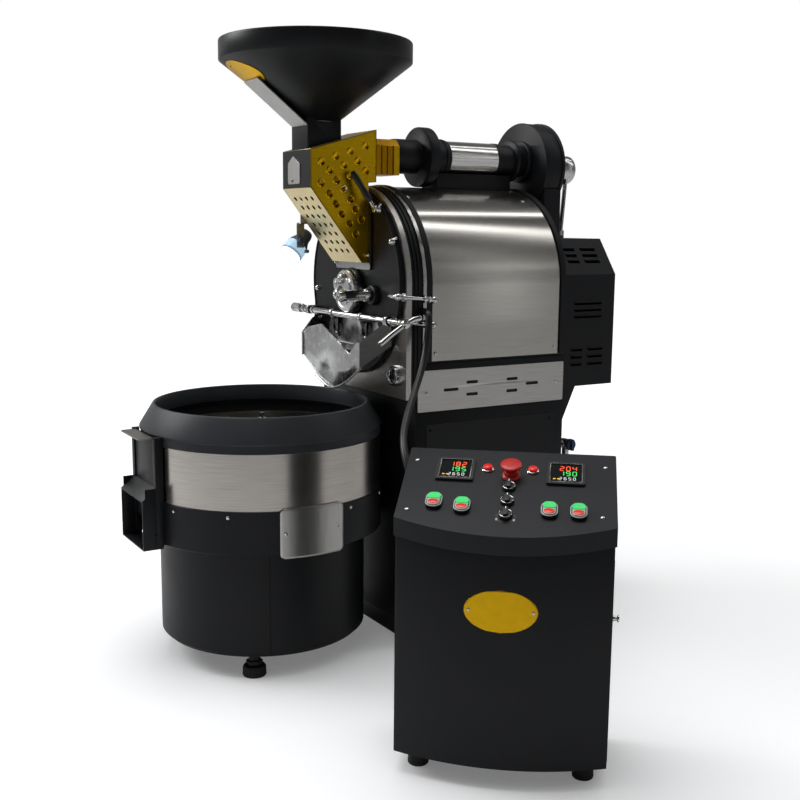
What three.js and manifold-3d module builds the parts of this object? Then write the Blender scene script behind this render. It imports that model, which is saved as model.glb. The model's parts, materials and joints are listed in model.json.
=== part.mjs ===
// Shop drum roaster: hopper and perforated chute over an arched drum casing, exhaust blower
// behind it, round cooling bin in front, and a separate control cabinet beside it.
// Millimetres, +Z up. X runs across the machine, Y along the drum from front to back,
// and the origin is on the floor under the middle of the pedestal.
import * as THREE from 'three';
import { mergeVertices } from 'three/addons/utils/BufferGeometryUtils.js';
import Module from 'manifold-3d';

const wasm = await Module();
wasm.setup();

// Clearances and facets
const gap = 0.3;
const runGap = 2;
const over = 6;
const fine = 36;
const coarse = 18;
const small = 10;

// Cooling bin, stacked from the floor upwards
const plateY = -255;
const binLowerRadius = 284;
const pedestalReach = 34.3;
const binReach = binLowerRadius + gap - pedestalReach;
const binBaseStep = 41;
const binBaseRadius = binLowerRadius - binBaseStep;
const binLipStep = 32;
const binLipRadius = binLowerRadius - binLipStep;
const binLipWall = 6;
const binWall = 3;
const binBandStep = 3;
const binLedge = 12;
const binFootHeight = 50;
const binFootGap = 7;
const binBottomZ = binFootHeight + binFootGap;
const binBaseHeight = 242;
const binShoulderZ = binBottomZ + binBaseHeight;
const binLowerHeight = 97;
const binBandZ = binShoulderZ + binLowerHeight;
const binBandHeight = 125;
const binBandTopZ = binBandZ + binBandHeight;
const binFlareHeight = 25;
const binFlareZ = binBandTopZ + binFlareHeight;
const binLipHeight = 51;
const binLipZ = binFlareZ + binLipHeight;
const binFloorRise = 46;
const binFloorZ = binShoulderZ + binFloorRise;
const binFloorThickness = 3;
const binFootRadius = 27;
const binFootStep = 32;
const binFootCircle = binBaseRadius - binFootStep;
const binFootRingHalf = 22;
const binFootAngle = -30;
const binFootCount = 3;

// Outlet of the bin and its sliding gate
const outletHalfWidth = 77;
const outletProud = 36;
const outletReach = binLowerRadius + outletProud;
const outletHeight = 113;
const outletDrop = 8;
const outletFloorZ = binShoulderZ - outletDrop;
const outletTopZ = outletFloorZ + outletHeight;
const outletRearRise = 27;
const outletRearTopZ = outletTopZ + outletRearRise;
const outletWall = 3;
const mouthInset = 12;
const railWidth = 16;
const gatePlateRise = 20;
const gatePlateTopZ = binBandTopZ + gatePlateRise;
const gatePlateThickness = 3;
const gateHandleReach = 34;

// Stirrer and its motor
const motorDrop = 1;
const motorTopZ = binShoulderZ - motorDrop;
const stirrerMotorRadius = 60;
const stirrerShaftRadius = 12;
const stirrerShaftSeat = 40;
const stirrerTopDrop = 31;
const stirrerTopZ = binLipZ - stirrerTopDrop;
const stirrerHubRadius = 26;
const stirrerHubHeight = 66;
const stirrerArmClear = 26;
const stirrerArmReach = binLowerRadius - stirrerArmClear;
const stirrerArmWidth = 16;
const stirrerArmHeight = 10;
const stirrerArmCount = 4;
const paddleHeight = 44;
const paddleLength = 96;
const paddleThickness = 4;

// Casing, front plates and pedestal
const roundPlateRadius = 222;
const roundPlateThickness = 8;
const facePlateMargin = 11;
const facePlateRadius = roundPlateRadius + facePlateMargin;
const facePlateDepth = 13.4;
const facePlateBoreStep = 27;
const facePlateBore = roundPlateRadius - facePlateBoreStep;
const casingStep = 4;
const casingRadius = facePlateRadius - casingStep;
const casingWall = 5;
const casingLength = 453;
const flangeRise = 7;
const flangeWidth = 14;
const frontFlangeOffset = 40;
const rearFlangeOffset = 6;
const coverThickness = 2.5;
const coverEndGap = 2;
const skirtDrop = 6;
const pedestalHalfWidth = casingRadius + casingStep;
const pedestalWall = 3;
const plinthHeight = 48;
const plinthInset = 12;
const plinthFloor = 6;
const pedestalOverBin = 3;
const pedestalTopZ = binLipZ + pedestalOverBin;
const facePlateRise = 7;
const facePlateBottomZ = pedestalTopZ + facePlateRise;
const coverRise = 94;
const coverBottomZ = pedestalTopZ + coverRise;
const archRise = 268;
const archZ = pedestalTopZ + archRise;
const trimThickness = 2;
const trimDrop = 24;
const trimBottomZ = pedestalTopZ - trimDrop;
const trimHeight = 97;
const trimEndInset = 5;
const trimSlotHeight = 7.5;
const trimSlotRise = 14.5;

// Drum, shaft and drive
const drumAxisDrop = 20;
const drumAxisZ = archZ - drumAxisDrop;
const drumRadius = 138;
const drumWall = 3;
const drumFrontInset = 12;
const drumRearInset = 30;
const shaftRadius = 15;
const spiderInset = 170;
const spiderThickness = 10;
const spokeWidth = 24;
const vaneHeight = 16;
const vaneThickness = 3;
const vaneCount = 4;
const bearingRadius = 47;
const bearingDepth = 25;
const rearBearingRadius = 40;
const rearBearingDepth = 24;
const sprocketGap = 18;
const sprocketThickness = 8;
const drumSprocketRadius = 76;
const motorSprocketRadius = 38;
const toothDepth = 5;
const toothSteps = 4;
const drumTeeth = 20;
const motorTeeth = 10;
const chainThickness = 8;
const driveMotorX = 100;
const driveMotorSize = 96;
const driveMotorLength = 84;
const driveShaftRadius = 9;

// Burner and gas
const burnerRise = 50;
const burnerZ = pedestalTopZ + burnerRise;
const burnerRadius = 16;
const burnerPortHeight = 10;
const burnerPortWidth = 14;
const gasStep = 45;
const gasX = pedestalHalfWidth - gasStep;
const gasDrop = 151;
const gasZ = pedestalTopZ - gasDrop;
const gasPipeRadius = 9;
const gasPipeLength = 50;
const gasBodyRadius = 13;
const gasKnobRadius = 15;
const gasKnobDepth = 12;

// Discharge rod, door and lever
const rodDrop = 59;
const rodHeight = drumAxisZ - rodDrop;
const rodOut = 22;
const rodRadius = 6;
const rodLeft = 245;
const leverX = 275;
const rodEnd = 7;
const rodRight = leverX + rodEnd;
const weightLength = 50;
const weightRadius = 10;
const postStep = 22;
const postX = roundPlateRadius - postStep;
const postWidth = 16;
const postHeight = 22;
const doorHalfWidth = 78;
const doorOpeningInset = 8;
const doorHeight = 64;
const doorDrop = 73;
const doorBottomZ = rodHeight - doorDrop;
const doorThickness = 5;
const armOut = 3;
const armX = doorHalfWidth + armOut;
const armWidth = 14;
const armThickness = 5;
const leverRadius = 7;
const leverFrontReach = 78;
const leverRearReach = 48;
const leverSlope = 24;
const collarRadius = 11;
const collarWidth = 14;

// Scoop, its edges as shares of its height, and the sight glass
const scoopDepth = 70;
const scoopWall = 3;
const scoopRearHalfWidth = 180;
const scoopFrontHalfWidth = 150;
const scoopKneeShare = 0.31;
const scoopTopDrop = 11;
const scoopTopZ = rodHeight - scoopTopDrop;
const scoopHeight = 166;
const scoopLipZ = scoopTopZ - scoopHeight;
const scoopCornerShare = 0.747;
const scoopRearEdgeShare = 0.705;
const scoopFrontEdgeShare = 0.386;
const scoopNotchShare = 0.56;
const scoopHornShare = 0.922;
const sightStep = 47;
const sightX = facePlateRadius - sightStep;
const sightRise = 60;
const sightZ = pedestalTopZ + sightRise;
const sightRadius = 24;
const sightBore = 15;
const sightProud = 12;

// Sample trier and damper lever
const trierStep = 38;
const trierX = drumRadius - trierStep;
const trierDrop = 5;
const trierZ = drumAxisZ - trierDrop;
const trierRadius = 13.5;
const trierOut = 98;
const trierIn = 140;
const trierSocketRim = 6;
const trierSocketDepth = 14;
const damperStep = 10;
const damperAngle = 56.16;
const damperBossRadius = 9;
const damperBossDepth = 16;
const damperRodRadius = 4.5;
const damperRodLength = 44;
const damperGripRadius = 8.5;
const damperGripLength = 56;

// Feed chute
const neckHalf = 44;
const hopperReach = 103;
const headMargin = 8;
const chuteFrontReach = hopperReach + neckHalf + headMargin;
const chuteMargin = 31;
const chuteHalfWidth = neckHalf + chuteMargin;
const chuteWall = 2;
const chuteHeadBottomZ = archZ + roundPlateRadius;
const chuteHeadHeight = 87;
const chuteHeadTopZ = chuteHeadBottomZ + chuteHeadHeight;
const chuteRearReach = 17;
const chuteRearRise = 50;
const chuteRearTopZ = chuteHeadTopZ + chuteRearRise;
const chuteStep = 16;
const chuteStepZ = chuteHeadBottomZ + chuteStep;
const chuteBackOff = 4;
const chuteFootReach = 21;
const entryStep = 25;
const entryHalfWidth = chuteHalfWidth - entryStep;
const entryHeight = 50;
const entryRise = 82;
const entryBottomZ = drumAxisZ + entryRise;
const chuteFootDrop = 12;
const chuteFootZ = entryBottomZ - chuteFootDrop;
const flangeMargin = 12;
const flangeHalfWidth = chuteHalfWidth + flangeMargin;
const flangeDrop = 17;
const flangeBottomZ = chuteFootZ - flangeDrop;
const flangeHeight = 149;
const flangeTopZ = flangeBottomZ + flangeHeight;

// Hopper and its slide gate
const hopperRadius = 225;
const hopperWall = 2;
const neckRound = 6;
const hopperNeckRadius = neckHalf + neckRound;
const neckRise = 1;
const neckBottomZ = chuteHeadTopZ + neckRise;
const neckLength = 65;
const hopperNeckZ = neckBottomZ + neckLength;
const hopperConeHeight = 135;
const hopperRimBottomZ = hopperNeckZ + hopperConeHeight;
const hopperRimHeight = 44;
const hopperTopZ = hopperRimBottomZ + hopperRimHeight;
const gateStep = 4;
const gateHalfWidth = neckHalf - gateStep;
const gateThickness = 2.5;
const gateDrop = 6;
const gateOutside = 150;

// Exhaust line, placed along the casing it stands on
const casingEndReach = roundPlateThickness + facePlateDepth + casingLength + 2 * gap;
const exhaustDrop = 3;
const exhaustZ = chuteHeadTopZ - exhaustDrop;
const elbowHalfWidth = 44;
const elbowLength = 82;
const elbowEndReach = chuteRearReach + elbowLength;
const elbowBelow = 48;
const elbowAbove = 37;
const elbowChamfer = 16;
const stubRadius = 42;
const stubLength = 74;
const discRadius = 73;
const discThickness = 30;
const discReach = elbowEndReach + stubLength;
const collarLineRadius = 45;
const collarLineLength = 50;
const pipeStartReach = discReach + discThickness + collarLineLength;
const pipeEndStep = 79;
const pipeEndReach = casingEndReach - pipeEndStep;
const pipeRadius = 42.5;
const pipeWall = 3;
const inletRadius = 41;
const inletRingRadius = 53;
const inletRingStep = 56;
const inletRingReach = pipeEndReach + inletRingStep;
const inletRingWidth = 12;
const blowerStep = 23;
const blowerReach = casingEndReach + blowerStep;
const blowerDepth = 60;
const blowerDrop = 16;
const blowerZ = exhaustZ - blowerDrop;
const blowerRadius = 110;
const blowerGrowth = 20;
const blowerWall = 3;
const blowerRimRise = 2;
const blowerRimWidth = 8;
const outletWidth = 74;
const outletReachDown = 117;
const outletBottomZ = blowerZ - outletReachDown;
const footHalfWidth = 100;
const footTopShare = 0.5;
const impellerStep = 20;
const impellerRadius = blowerRadius - impellerStep;
const impellerDepthStep = 22;
const impellerDepth = blowerDepth - impellerDepthStep;
const impellerBlades = 8;
const impellerBladeThickness = 3;
const fanMotorRadius = 37;
const fanMotorLength = 100;
const fanShaftRadius = 6;
const strutRadius = 6;
const strutTopShare = 0.75;
const strutFootShare = 0.74;
const saddleHalfWidth = 34;
const saddleTopDrop = 38;
const saddleFrontStep = 10;
const saddleStartReach = discReach + discThickness + saddleFrontStep;
const saddleRearStep = 35;
const saddleEndReach = casingEndReach - saddleRearStep;

// Louvred rear cover
const rearInset = 8;
const rearHalfWidth = pedestalHalfWidth - rearInset;
const rearRise = 5;
const rearBottomZ = pedestalTopZ + rearRise;
const rearHeight = 372;
const rearTopZ = rearBottomZ + rearHeight;
const rearClear = 23;
const rearDepth = rearBearingDepth + sprocketGap + 2 * sprocketThickness + driveMotorLength + rearClear;
const rearTopStep = 64;
const rearTopHalf = rearHalfWidth - rearTopStep;
const rearSlopeDrop = 89;
const rearWall = 2;
const braceDepth = 44;
const braceDrop = 90;
const braceBottomZ = pedestalTopZ - braceDrop;
const braceThickness = 3;
const braceStep = 2;
const braceX = rearHalfWidth - braceStep;
const louvreHeight = 8;

// Lamp on the side of the chute
const lampHeadDrop = 62;
const lampBracketZ = chuteHeadBottomZ - lampHeadDrop;
const lampBracketReach = 98;
const lampBracketWidth = 20;
const lampBracketThickness = 3;
const lampBracketDrop = 78;
const lampArm = 22;
const lampRadius = 26;
const lampLength = 78;
const lampClear = 10;
const lampPivotDrop = 60;
const lampPivotZ = lampBracketZ - lampPivotDrop;
const lampTilt = 42;
const lampYaw = 22;
const lampPinRadius = 4;
const lampNeckShare = 0.6;

// Control cabinet, in its own turned frame: u across, v from front to back
const cabinetX = 719.5;
const cabinetY = -567.8;
const cabinetYaw = 49.65;
const cabinetWidth = 396;
const cabinetDepth = 210.5;
const cabinetBulge = 39;
const cabinetFrontZ = 489.5;
const cabinetRise = 84.5;
const cabinetRearZ = cabinetFrontZ + cabinetRise;
const cabinetBottomZ = 40;
const cabinetWall = 2;
const cabinetInset = 3;
const apronHeight = 34;
const cabinetFootRadius = 20;
const cabinetFootInset = 44;
const cabinetFootPlate = 4;
const glandRadius = 14;
const glandLength = 18;
const glandInset = 26;
const glandDrop = 174;
const glandZ = cabinetRearZ - glandDrop;

// Console controls: places across (U) as shares of the width, down the slope (V) of its length
const consoleLength = Math.hypot(cabinetDepth, cabinetRise);
const meterSize = 72;
const meterProud = 5;
const meterUShares = [0.149, 0.674];
const meterVShare = 0.154;
const stopUShare = 0.508;
const stopVShare = 0.362;
const stopRadius = 20;
const stopHeadHeight = 12;
const stopStemRadius = 11;
const stopStemHeight = 16;
const stopStemSeat = 2;
const stopTravel = 4;
const pilotRadius = 12;
const pilotProud = 9;
const pilotUShares = [0.394, 0.609];
const pilotVShare = 0.282;
const selectorUShare = 0.503;
const selectorVShares = [0.538, 0.732, 0.917];
const selectorRadius = 13;
const selectorHeight = 14;
const selectorFin = 9;
const twinWidth = 30;
const twinLength = 42;
const twinProud = 7;
const twinUShares = [0.169, 0.301, 0.697, 0.828];
const twinVShares = [0.785, 0.829, 0.838, 0.842];
const capWidth = 23;
const capLength = 17;
const capProud = 4;
const capTravel = 3;
const capSpacing = 19;
const capDepth = 4;

// Conduit from the casing to the cabinet
const conduitRadius = 8;
const conduitSides = 10;
const conduitSteps = 24;

// Materials
function finish(color, roughness, metalness) {
  return new THREE.MeshStandardMaterial({ color, roughness, metalness });
}
const blackPaint = finish(0x1b1c1e, 0.55, 0.2);
const brushedSteel = finish(0xb9b5ac, 0.35, 1);
const goldSteel = finish(0xc29a26, 0.3, 1);
const castAluminium = finish(0xc8c9c8, 0.3, 1);
const chrome = finish(0xd6d6d6, 0.12, 1);
const rawSteel = finish(0x8d8a84, 0.4, 1);
const rubber = finish(0x141414, 0.85, 0);
const blackPlastic = finish(0x121212, 0.5, 0);
const redPlastic = finish(0xc01a18, 0.4, 0);
const greenPlastic = finish(0x1f9a4a, 0.4, 0);
const bluePlastic = finish(0x20324e, 0.45, 0);

// Solids and their joins
function solid(geometry) {
  const plain = geometry.clone();
  plain.deleteAttribute('normal');
  plain.deleteAttribute('uv');
  const merged = mergeVertices(plain, 1e-4);
  const vertProperties = new Float32Array(merged.attributes.position.array);
  const triVerts = new Uint32Array(merged.index.array);
  return new wasm.Manifold(new wasm.Mesh({ numProp: 3, vertProperties, triVerts }));
}

function join(...pieces) {
  return pieces.reduce((all, piece) => all.add(piece));
}

function cut(body, ...tools) {
  return tools.reduce((rest, tool) => rest.subtract(tool), body);
}

function surface(manifold) {
  const mesh = manifold.getMesh();
  const geometry = new THREE.BufferGeometry();
  const points = new Float32Array(mesh.vertProperties);
  geometry.setAttribute('position', new THREE.BufferAttribute(points, 3));
  geometry.setIndex(new THREE.BufferAttribute(new Uint32Array(mesh.triVerts), 1));
  const flat = geometry.toNonIndexed();
  flat.computeVertexNormals();
  return flat;
}

function block(x0, x1, y0, y1, z0, z1) {
  const shape = new THREE.BoxGeometry(x1 - x0, y1 - y0, z1 - z0);
  return solid(shape.translate((x0 + x1) / 2, (y0 + y1) / 2, (z0 + z1) / 2));
}

function rodY(x, z, radius, y0, y1, sides = coarse) {
  const shape = new THREE.CylinderGeometry(radius, radius, y1 - y0, sides);
  return solid(shape.translate(x, (y0 + y1) / 2, z));
}

function rodX(y, z, radius, x0, x1, sides = coarse) {
  const shape = new THREE.CylinderGeometry(radius, radius, x1 - x0, sides);
  return solid(shape.rotateZ(Math.PI / 2).translate((x0 + x1) / 2, y, z));
}

function rodZ(x, y, radius, z0, z1, sides = coarse) {
  const shape = new THREE.CylinderGeometry(radius, radius, z1 - z0, sides);
  return solid(shape.rotateX(Math.PI / 2).translate(x, y, (z0 + z1) / 2));
}

function bar(from, to, radius, sides = small) {
  const start = new THREE.Vector3(...from);
  const along = new THREE.Vector3(...to).sub(start);
  const shape = new THREE.CylinderGeometry(radius, radius, along.length(), sides);
  const turn = new THREE.Quaternion();
  turn.setFromUnitVectors(new THREE.Vector3(0, 1, 0), along.clone().normalize());
  const middle = start.addScaledVector(along, 1 / 2);
  return solid(shape.applyQuaternion(turn).translate(middle.x, middle.y, middle.z));
}

function extrusion(points, length) {
  const outline = new THREE.Shape(points.map(([a, b]) => new THREE.Vector2(a, b)));
  return new THREE.ExtrudeGeometry(outline, { depth: length, bevelEnabled: false });
}

function prismX(points, x0, x1) {
  const turn = new THREE.Matrix4();
  turn.makeBasis(new THREE.Vector3(0, 1, 0), new THREE.Vector3(0, 0, 1), new THREE.Vector3(1, 0, 0));
  return solid(extrusion(points, x1 - x0).applyMatrix4(turn).translate(x0, 0, 0));
}

function prismY(points, y0, y1) {
  return solid(extrusion(points, y1 - y0).rotateX(Math.PI / 2).translate(0, y1, 0));
}

function prismZ(points, z0, z1) {
  return solid(extrusion(points, z1 - z0).translate(0, 0, z0));
}

function turned(profile, x, y, sides = fine) {
  const points = profile.map(([r, z]) => new THREE.Vector2(r, z));
  const shape = new THREE.LatheGeometry([...points, points[0]], sides);
  return solid(shape.rotateX(Math.PI / 2).translate(x, y, 0));
}

// A ruled solid between two outlines in XZ that have the same number of points
function loft(rear, rearY, front, frontY) {
  const count = rear.length;
  const positions = [];
  for (const [x, z] of front) positions.push(x, frontY, z);
  for (const [x, z] of rear) positions.push(x, rearY, z);
  const index = [];
  for (let i = 0; i < count; i += 1) {
    const next = (i + 1) % count;
    index.push(i, next, count + i, next, count + next, count + i);
  }
  const contour = front.map(([x, z]) => new THREE.Vector2(x, z));
  for (const [a, b, c] of THREE.ShapeUtils.triangulateShape(contour, [])) {
    index.push(a, c, b, count + a, count + b, count + c);
  }
  const geometry = new THREE.BufferGeometry();
  geometry.setAttribute('position', new THREE.Float32BufferAttribute(positions, 3));
  geometry.setIndex(index);
  const result = solid(geometry);
  if (result.volume() > 0) return result;
  const flipped = [];
  for (let i = 0; i < index.length; i += 3) flipped.push(index[i], index[i + 2], index[i + 1]);
  geometry.setIndex(flipped);
  return solid(geometry);
}

const root = new THREE.Group();

function place(name, body, material, parent = root) {
  const mesh = new THREE.Mesh(surface(body), material);
  mesh.name = name;
  parent.add(mesh);
  return mesh;
}

// Places that several pieces share
const facePlateY = plateY + roundPlateThickness + gap;
const casingY = facePlateY + facePlateDepth + gap;
const casingEndY = casingY + casingLength;
const frontFlangeY = casingY + frontFlangeOffset;
const rearFlangeY = casingEndY - rearFlangeOffset - flangeWidth;
const drumY = casingY + drumFrontInset;
const drumEndY = casingEndY - drumRearInset;
const binY = plateY - binReach;
const pedestalY = plateY + pedestalReach;
const rearY = casingEndY + gap;
const rodY0 = plateY - rodOut;

function arch(radius, bottomZ, halfWidth = radius) {
  const points = [[-halfWidth, bottomZ], [halfWidth, bottomZ]];
  for (let i = 0; i <= fine / 2; i += 1) {
    const angle = (i / (fine / 2)) * Math.PI;
    points.push([radius * Math.cos(angle), archZ + radius * Math.sin(angle)]);
  }
  return points;
}

// Pedestal
function pedestal() {
  const endY = casingEndY - gap;
  const inner = pedestalHalfWidth - pedestalWall;
  const plinthHalf = pedestalHalfWidth - plinthInset;
  const body = join(
    block(-pedestalHalfWidth, pedestalHalfWidth, pedestalY, endY, plinthHeight, pedestalTopZ),
    block(-plinthHalf, plinthHalf, pedestalY + plinthInset, endY - plinthInset, 0, plinthHeight),
  );
  const room = block(-inner, inner, pedestalY + pedestalWall, endY - pedestalWall,
    plinthHeight + pedestalWall, pedestalTopZ + over);
  const plinthRoom = block(-plinthHalf + pedestalWall, plinthHalf - pedestalWall,
    pedestalY + plinthInset + pedestalWall, endY - plinthInset - pedestalWall,
    plinthFloor, plinthHeight + pedestalWall + over);
  return cut(body, room, plinthRoom);
}

function drumCasing() {
  const bottomZ = pedestalTopZ + gap;
  const outer = join(
    prismY(arch(casingRadius, bottomZ), casingY, casingEndY),
    prismY(arch(casingRadius + flangeRise, coverBottomZ), frontFlangeY, frontFlangeY + flangeWidth),
    prismY(arch(casingRadius + flangeRise, coverBottomZ), rearFlangeY, rearFlangeY + flangeWidth),
    block(-pedestalHalfWidth, pedestalHalfWidth, pedestalY, casingEndY - gap,
      bottomZ, coverBottomZ - skirtDrop),
    rodY(0, drumAxisZ, rearBearingRadius, casingEndY - gap, rearY + rearBearingDepth),
  );
  const inner = prismY(arch(casingRadius - casingWall, bottomZ - over),
    casingY + casingWall, casingEndY - casingWall);
  const mouth = rodY(0, drumAxisZ, drumRadius + runGap, casingY - over, casingY + casingWall + over, fine);
  const rearHole = rodY(0, drumAxisZ, shaftRadius + runGap, casingEndY - casingWall - over,
    rearY + rearBearingDepth + over);
  return cut(outer, inner, mouth, rearHole);
}

function casingCover() {
  const y0 = frontFlangeY + flangeWidth + coverEndGap;
  const y1 = rearFlangeY - coverEndGap;
  const inner = casingRadius + gap;
  return cut(prismY(arch(inner + coverThickness, coverBottomZ), y0, y1),
    prismY(arch(inner, coverBottomZ - over), y0 - over, y1 + over));
}

function facePlate() {
  const plate = prismY(arch(facePlateRadius, facePlateBottomZ), facePlateY, facePlateY + facePlateDepth);
  const ring = rodY(sightX, sightZ, sightRadius, facePlateY - sightProud, facePlateY + gap);
  const bore = rodY(sightX, sightZ, sightBore, facePlateY - sightProud - over,
    facePlateY + facePlateDepth + over);
  const hole = rodY(0, archZ, facePlateBore, facePlateY - over, facePlateY + facePlateDepth + over, fine);
  return cut(join(plate, ring), hole, bore);
}

function roundFrontPlate() {
  const y0 = plateY;
  const y1 = plateY + roundPlateThickness;
  let body = rodY(0, archZ, roundPlateRadius, y0, y1, fine);
  for (const side of [-1, 1]) {
    const x = side * postX;
    body = body.add(block(x - postWidth / 2, x + postWidth / 2, rodY0 - postHeight / 2, y0 + gap,
      rodHeight - postHeight / 2, rodHeight + postHeight / 2));
  }
  body = body.add(rodY(trierX, trierZ, trierRadius + trierSocketRim, y0 - trierSocketDepth, y0 + gap));
  const openingHalf = doorHalfWidth - doorOpeningInset;
  const deep = y1 + over;
  return cut(body,
    block(-openingHalf, openingHalf, y0 - gap, deep,
      doorBottomZ + doorOpeningInset, doorBottomZ + doorHeight - doorOpeningInset),
    block(-entryHalfWidth, entryHalfWidth, y0 - over, deep, entryBottomZ, entryBottomZ + entryHeight),
    rodY(0, drumAxisZ, shaftRadius + runGap, y0 - over, deep),
    rodY(trierX, trierZ, trierRadius + gap, y0 - trierSocketDepth - over, deep),
    rodX(rodY0, rodHeight, rodRadius + gap, -postX - postWidth, postX + postWidth));
}

function trimPlate() {
  const x0 = pedestalHalfWidth + gap;
  const y0 = pedestalY + trimEndInset;
  const y1 = casingEndY - trimEndInset;
  const length = y1 - y0;
  const midZ = trimBottomZ + trimHeight / 2;
  let plate = block(x0, x0 + trimThickness, y0, y1, trimBottomZ, trimBottomZ + trimHeight);
  const slotShares = [[0.215, 0, 0.098], [0.355, 1, 0.078], [0.355, -1, 0.078],
    [0.63, 1, 0.078], [0.63, -1, 0.078], [0.772, 0, 0.088]];
  for (const [place01, row, lengthShare] of slotShares) {
    const y = y0 + length * place01;
    const z = midZ + row * trimSlotRise;
    const half = (length * lengthShare) / 2;
    plate = plate.subtract(block(x0 - over, x0 + trimThickness + over, y - half, y + half,
      z - trimSlotHeight / 2, z + trimSlotHeight / 2));
  }
  return plate;
}

// Drum with its mixing vanes, and the shaft with its sprocket
function drum() {
  const shell = cut(rodY(0, drumAxisZ, drumRadius, drumY, drumEndY, fine),
    rodY(0, drumAxisZ, drumRadius - drumWall, drumY - over, drumEndY - drumWall, fine));
  const spiderY = drumY + spiderInset;
  const reach = drumRadius - drumWall + gap;
  let body = join(shell, rodY(0, drumAxisZ, shaftRadius * 2, spiderY, spiderY + spiderThickness));
  for (const angle of [0, Math.PI / 3, (2 * Math.PI) / 3]) {
    const spoke = new THREE.BoxGeometry(2 * reach, spiderThickness, spokeWidth);
    spoke.rotateY(angle).translate(0, spiderY + spiderThickness / 2, drumAxisZ);
    body = body.add(solid(spoke));
  }
  for (let i = 0; i < vaneCount; i += 1) {
    const vane = new THREE.BoxGeometry(vaneHeight, drumEndY - drumY - 2 * drumWall, vaneThickness);
    vane.translate(reach - vaneHeight / 2, (drumY + drumEndY) / 2, 0);
    vane.rotateY(((i + 0.5) / vaneCount) * 2 * Math.PI).translate(0, 0, drumAxisZ);
    body = body.add(solid(vane));
  }
  return body.subtract(rodY(0, drumAxisZ, shaftRadius + gap, drumY, drumEndY + over));
}

function toothedWheel(x, z, radius, teeth, y0, y1) {
  const points = [];
  for (let i = 0; i < teeth * toothSteps; i += 1) {
    const angle = (i / (teeth * toothSteps)) * 2 * Math.PI;
    const r = i % toothSteps < toothSteps / 2 ? radius : radius - toothDepth;
    points.push([x + r * Math.cos(angle), z + r * Math.sin(angle)]);
  }
  return prismY(points, y0, y1);
}

const sprocketY = rearY + rearBearingDepth + sprocketGap;
const driveMotorZ = rearBottomZ + rearWall + gap + driveMotorSize / 2;

function drumShaft() {
  return join(
    rodY(0, drumAxisZ, shaftRadius, plateY - bearingDepth + casingWall, sprocketY + 3 * sprocketThickness),
    toothedWheel(0, drumAxisZ, drumSprocketRadius, drumTeeth, sprocketY, sprocketY + sprocketThickness));
}

function driveSprocket() {
  return join(
    toothedWheel(driveMotorX, driveMotorZ, motorSprocketRadius, motorTeeth,
      sprocketY, sprocketY + sprocketThickness),
    rodY(driveMotorX, driveMotorZ, driveShaftRadius, sprocketY - sprocketThickness,
      sprocketY + 4 * sprocketThickness));
}

// Outline of a band that wraps two wheels, offset outward from their rims
function bandOutline(offset) {
  const dx = driveMotorX;
  const dz = driveMotorZ - drumAxisZ;
  const distance = Math.hypot(dx, dz);
  const toMotor = Math.atan2(dz, dx);
  const spread = Math.acos((drumSprocketRadius - motorSprocketRadius) / distance);
  const points = [];
  const steps = coarse;
  for (let i = 0; i <= steps; i += 1) {
    const angle = toMotor + spread + ((2 * Math.PI - 2 * spread) * i) / steps;
    const r = drumSprocketRadius + offset;
    points.push([r * Math.cos(angle), drumAxisZ + r * Math.sin(angle)]);
  }
  for (let i = 0; i <= small; i += 1) {
    const angle = toMotor - spread + (2 * spread * i) / small;
    const r = motorSprocketRadius + offset;
    points.push([driveMotorX + r * Math.cos(angle), driveMotorZ + r * Math.sin(angle)]);
  }
  return points;
}

function driveChain() {
  return cut(prismY(bandOutline(runGap + chainThickness), sprocketY, sprocketY + sprocketThickness),
    prismY(bandOutline(runGap), sprocketY - over, sprocketY + sprocketThickness + over));
}

function driveMotor() {
  const y0 = sprocketY + 2 * sprocketThickness;
  const half = driveMotorSize / 2;
  return cut(
    block(driveMotorX - half, driveMotorX + half, y0, y0 + driveMotorLength,
      driveMotorZ - half, driveMotorZ + half),
    rodY(driveMotorX, driveMotorZ, driveShaftRadius + gap, y0 - over,
      sprocketY + 4 * sprocketThickness + gap));
}

function frontBearing() {
  return cut(
    join(rodY(0, drumAxisZ, bearingRadius, plateY - bearingDepth, plateY - gap, fine),
      block(-bearingRadius * 1.18, bearingRadius * 1.18, plateY - bearingDepth / 2, plateY - gap,
        drumAxisZ - shaftRadius, drumAxisZ + shaftRadius)),
    rodY(0, drumAxisZ, shaftRadius + gap, plateY - bearingDepth + casingWall - gap, plateY + over));
}

// Burner bar with its row of ports, and the gas tap behind the pedestal
function burner() {
  const y0 = casingY + casingWall + gap;
  const y1 = casingEndY - casingWall - gap;
  return join(
    rodY(0, burnerZ, burnerRadius, y0, y1),
    block(-burnerPortWidth / 2, burnerPortWidth / 2, y0 + burnerRadius, y1 - burnerRadius,
      burnerZ, burnerZ + burnerRadius + burnerPortHeight));
}

const gasY = casingEndY + gasPipeLength;

function gasValve() {
  return join(
    rodY(gasX, gasZ, gasPipeRadius, casingEndY, gasY, small),
    rodX(gasY, gasZ, gasBodyRadius, gasX - gasBodyRadius, gasX + gasBodyRadius),
    rodZ(gasX, gasY, gasPipeRadius, gasZ - gasPipeLength, gasZ, small));
}

function gasKnob() {
  const x0 = gasX + gasBodyRadius + gap;
  return join(rodX(gasY, gasZ, gasKnobRadius, x0, x0 + gasKnobDepth),
    block(x0, x0 + 1.5 * gasKnobDepth, gasY - gasKnobRadius / 4, gasY + gasKnobRadius / 4,
      gasZ - gasKnobRadius, gasZ + gasKnobRadius));
}

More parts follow.
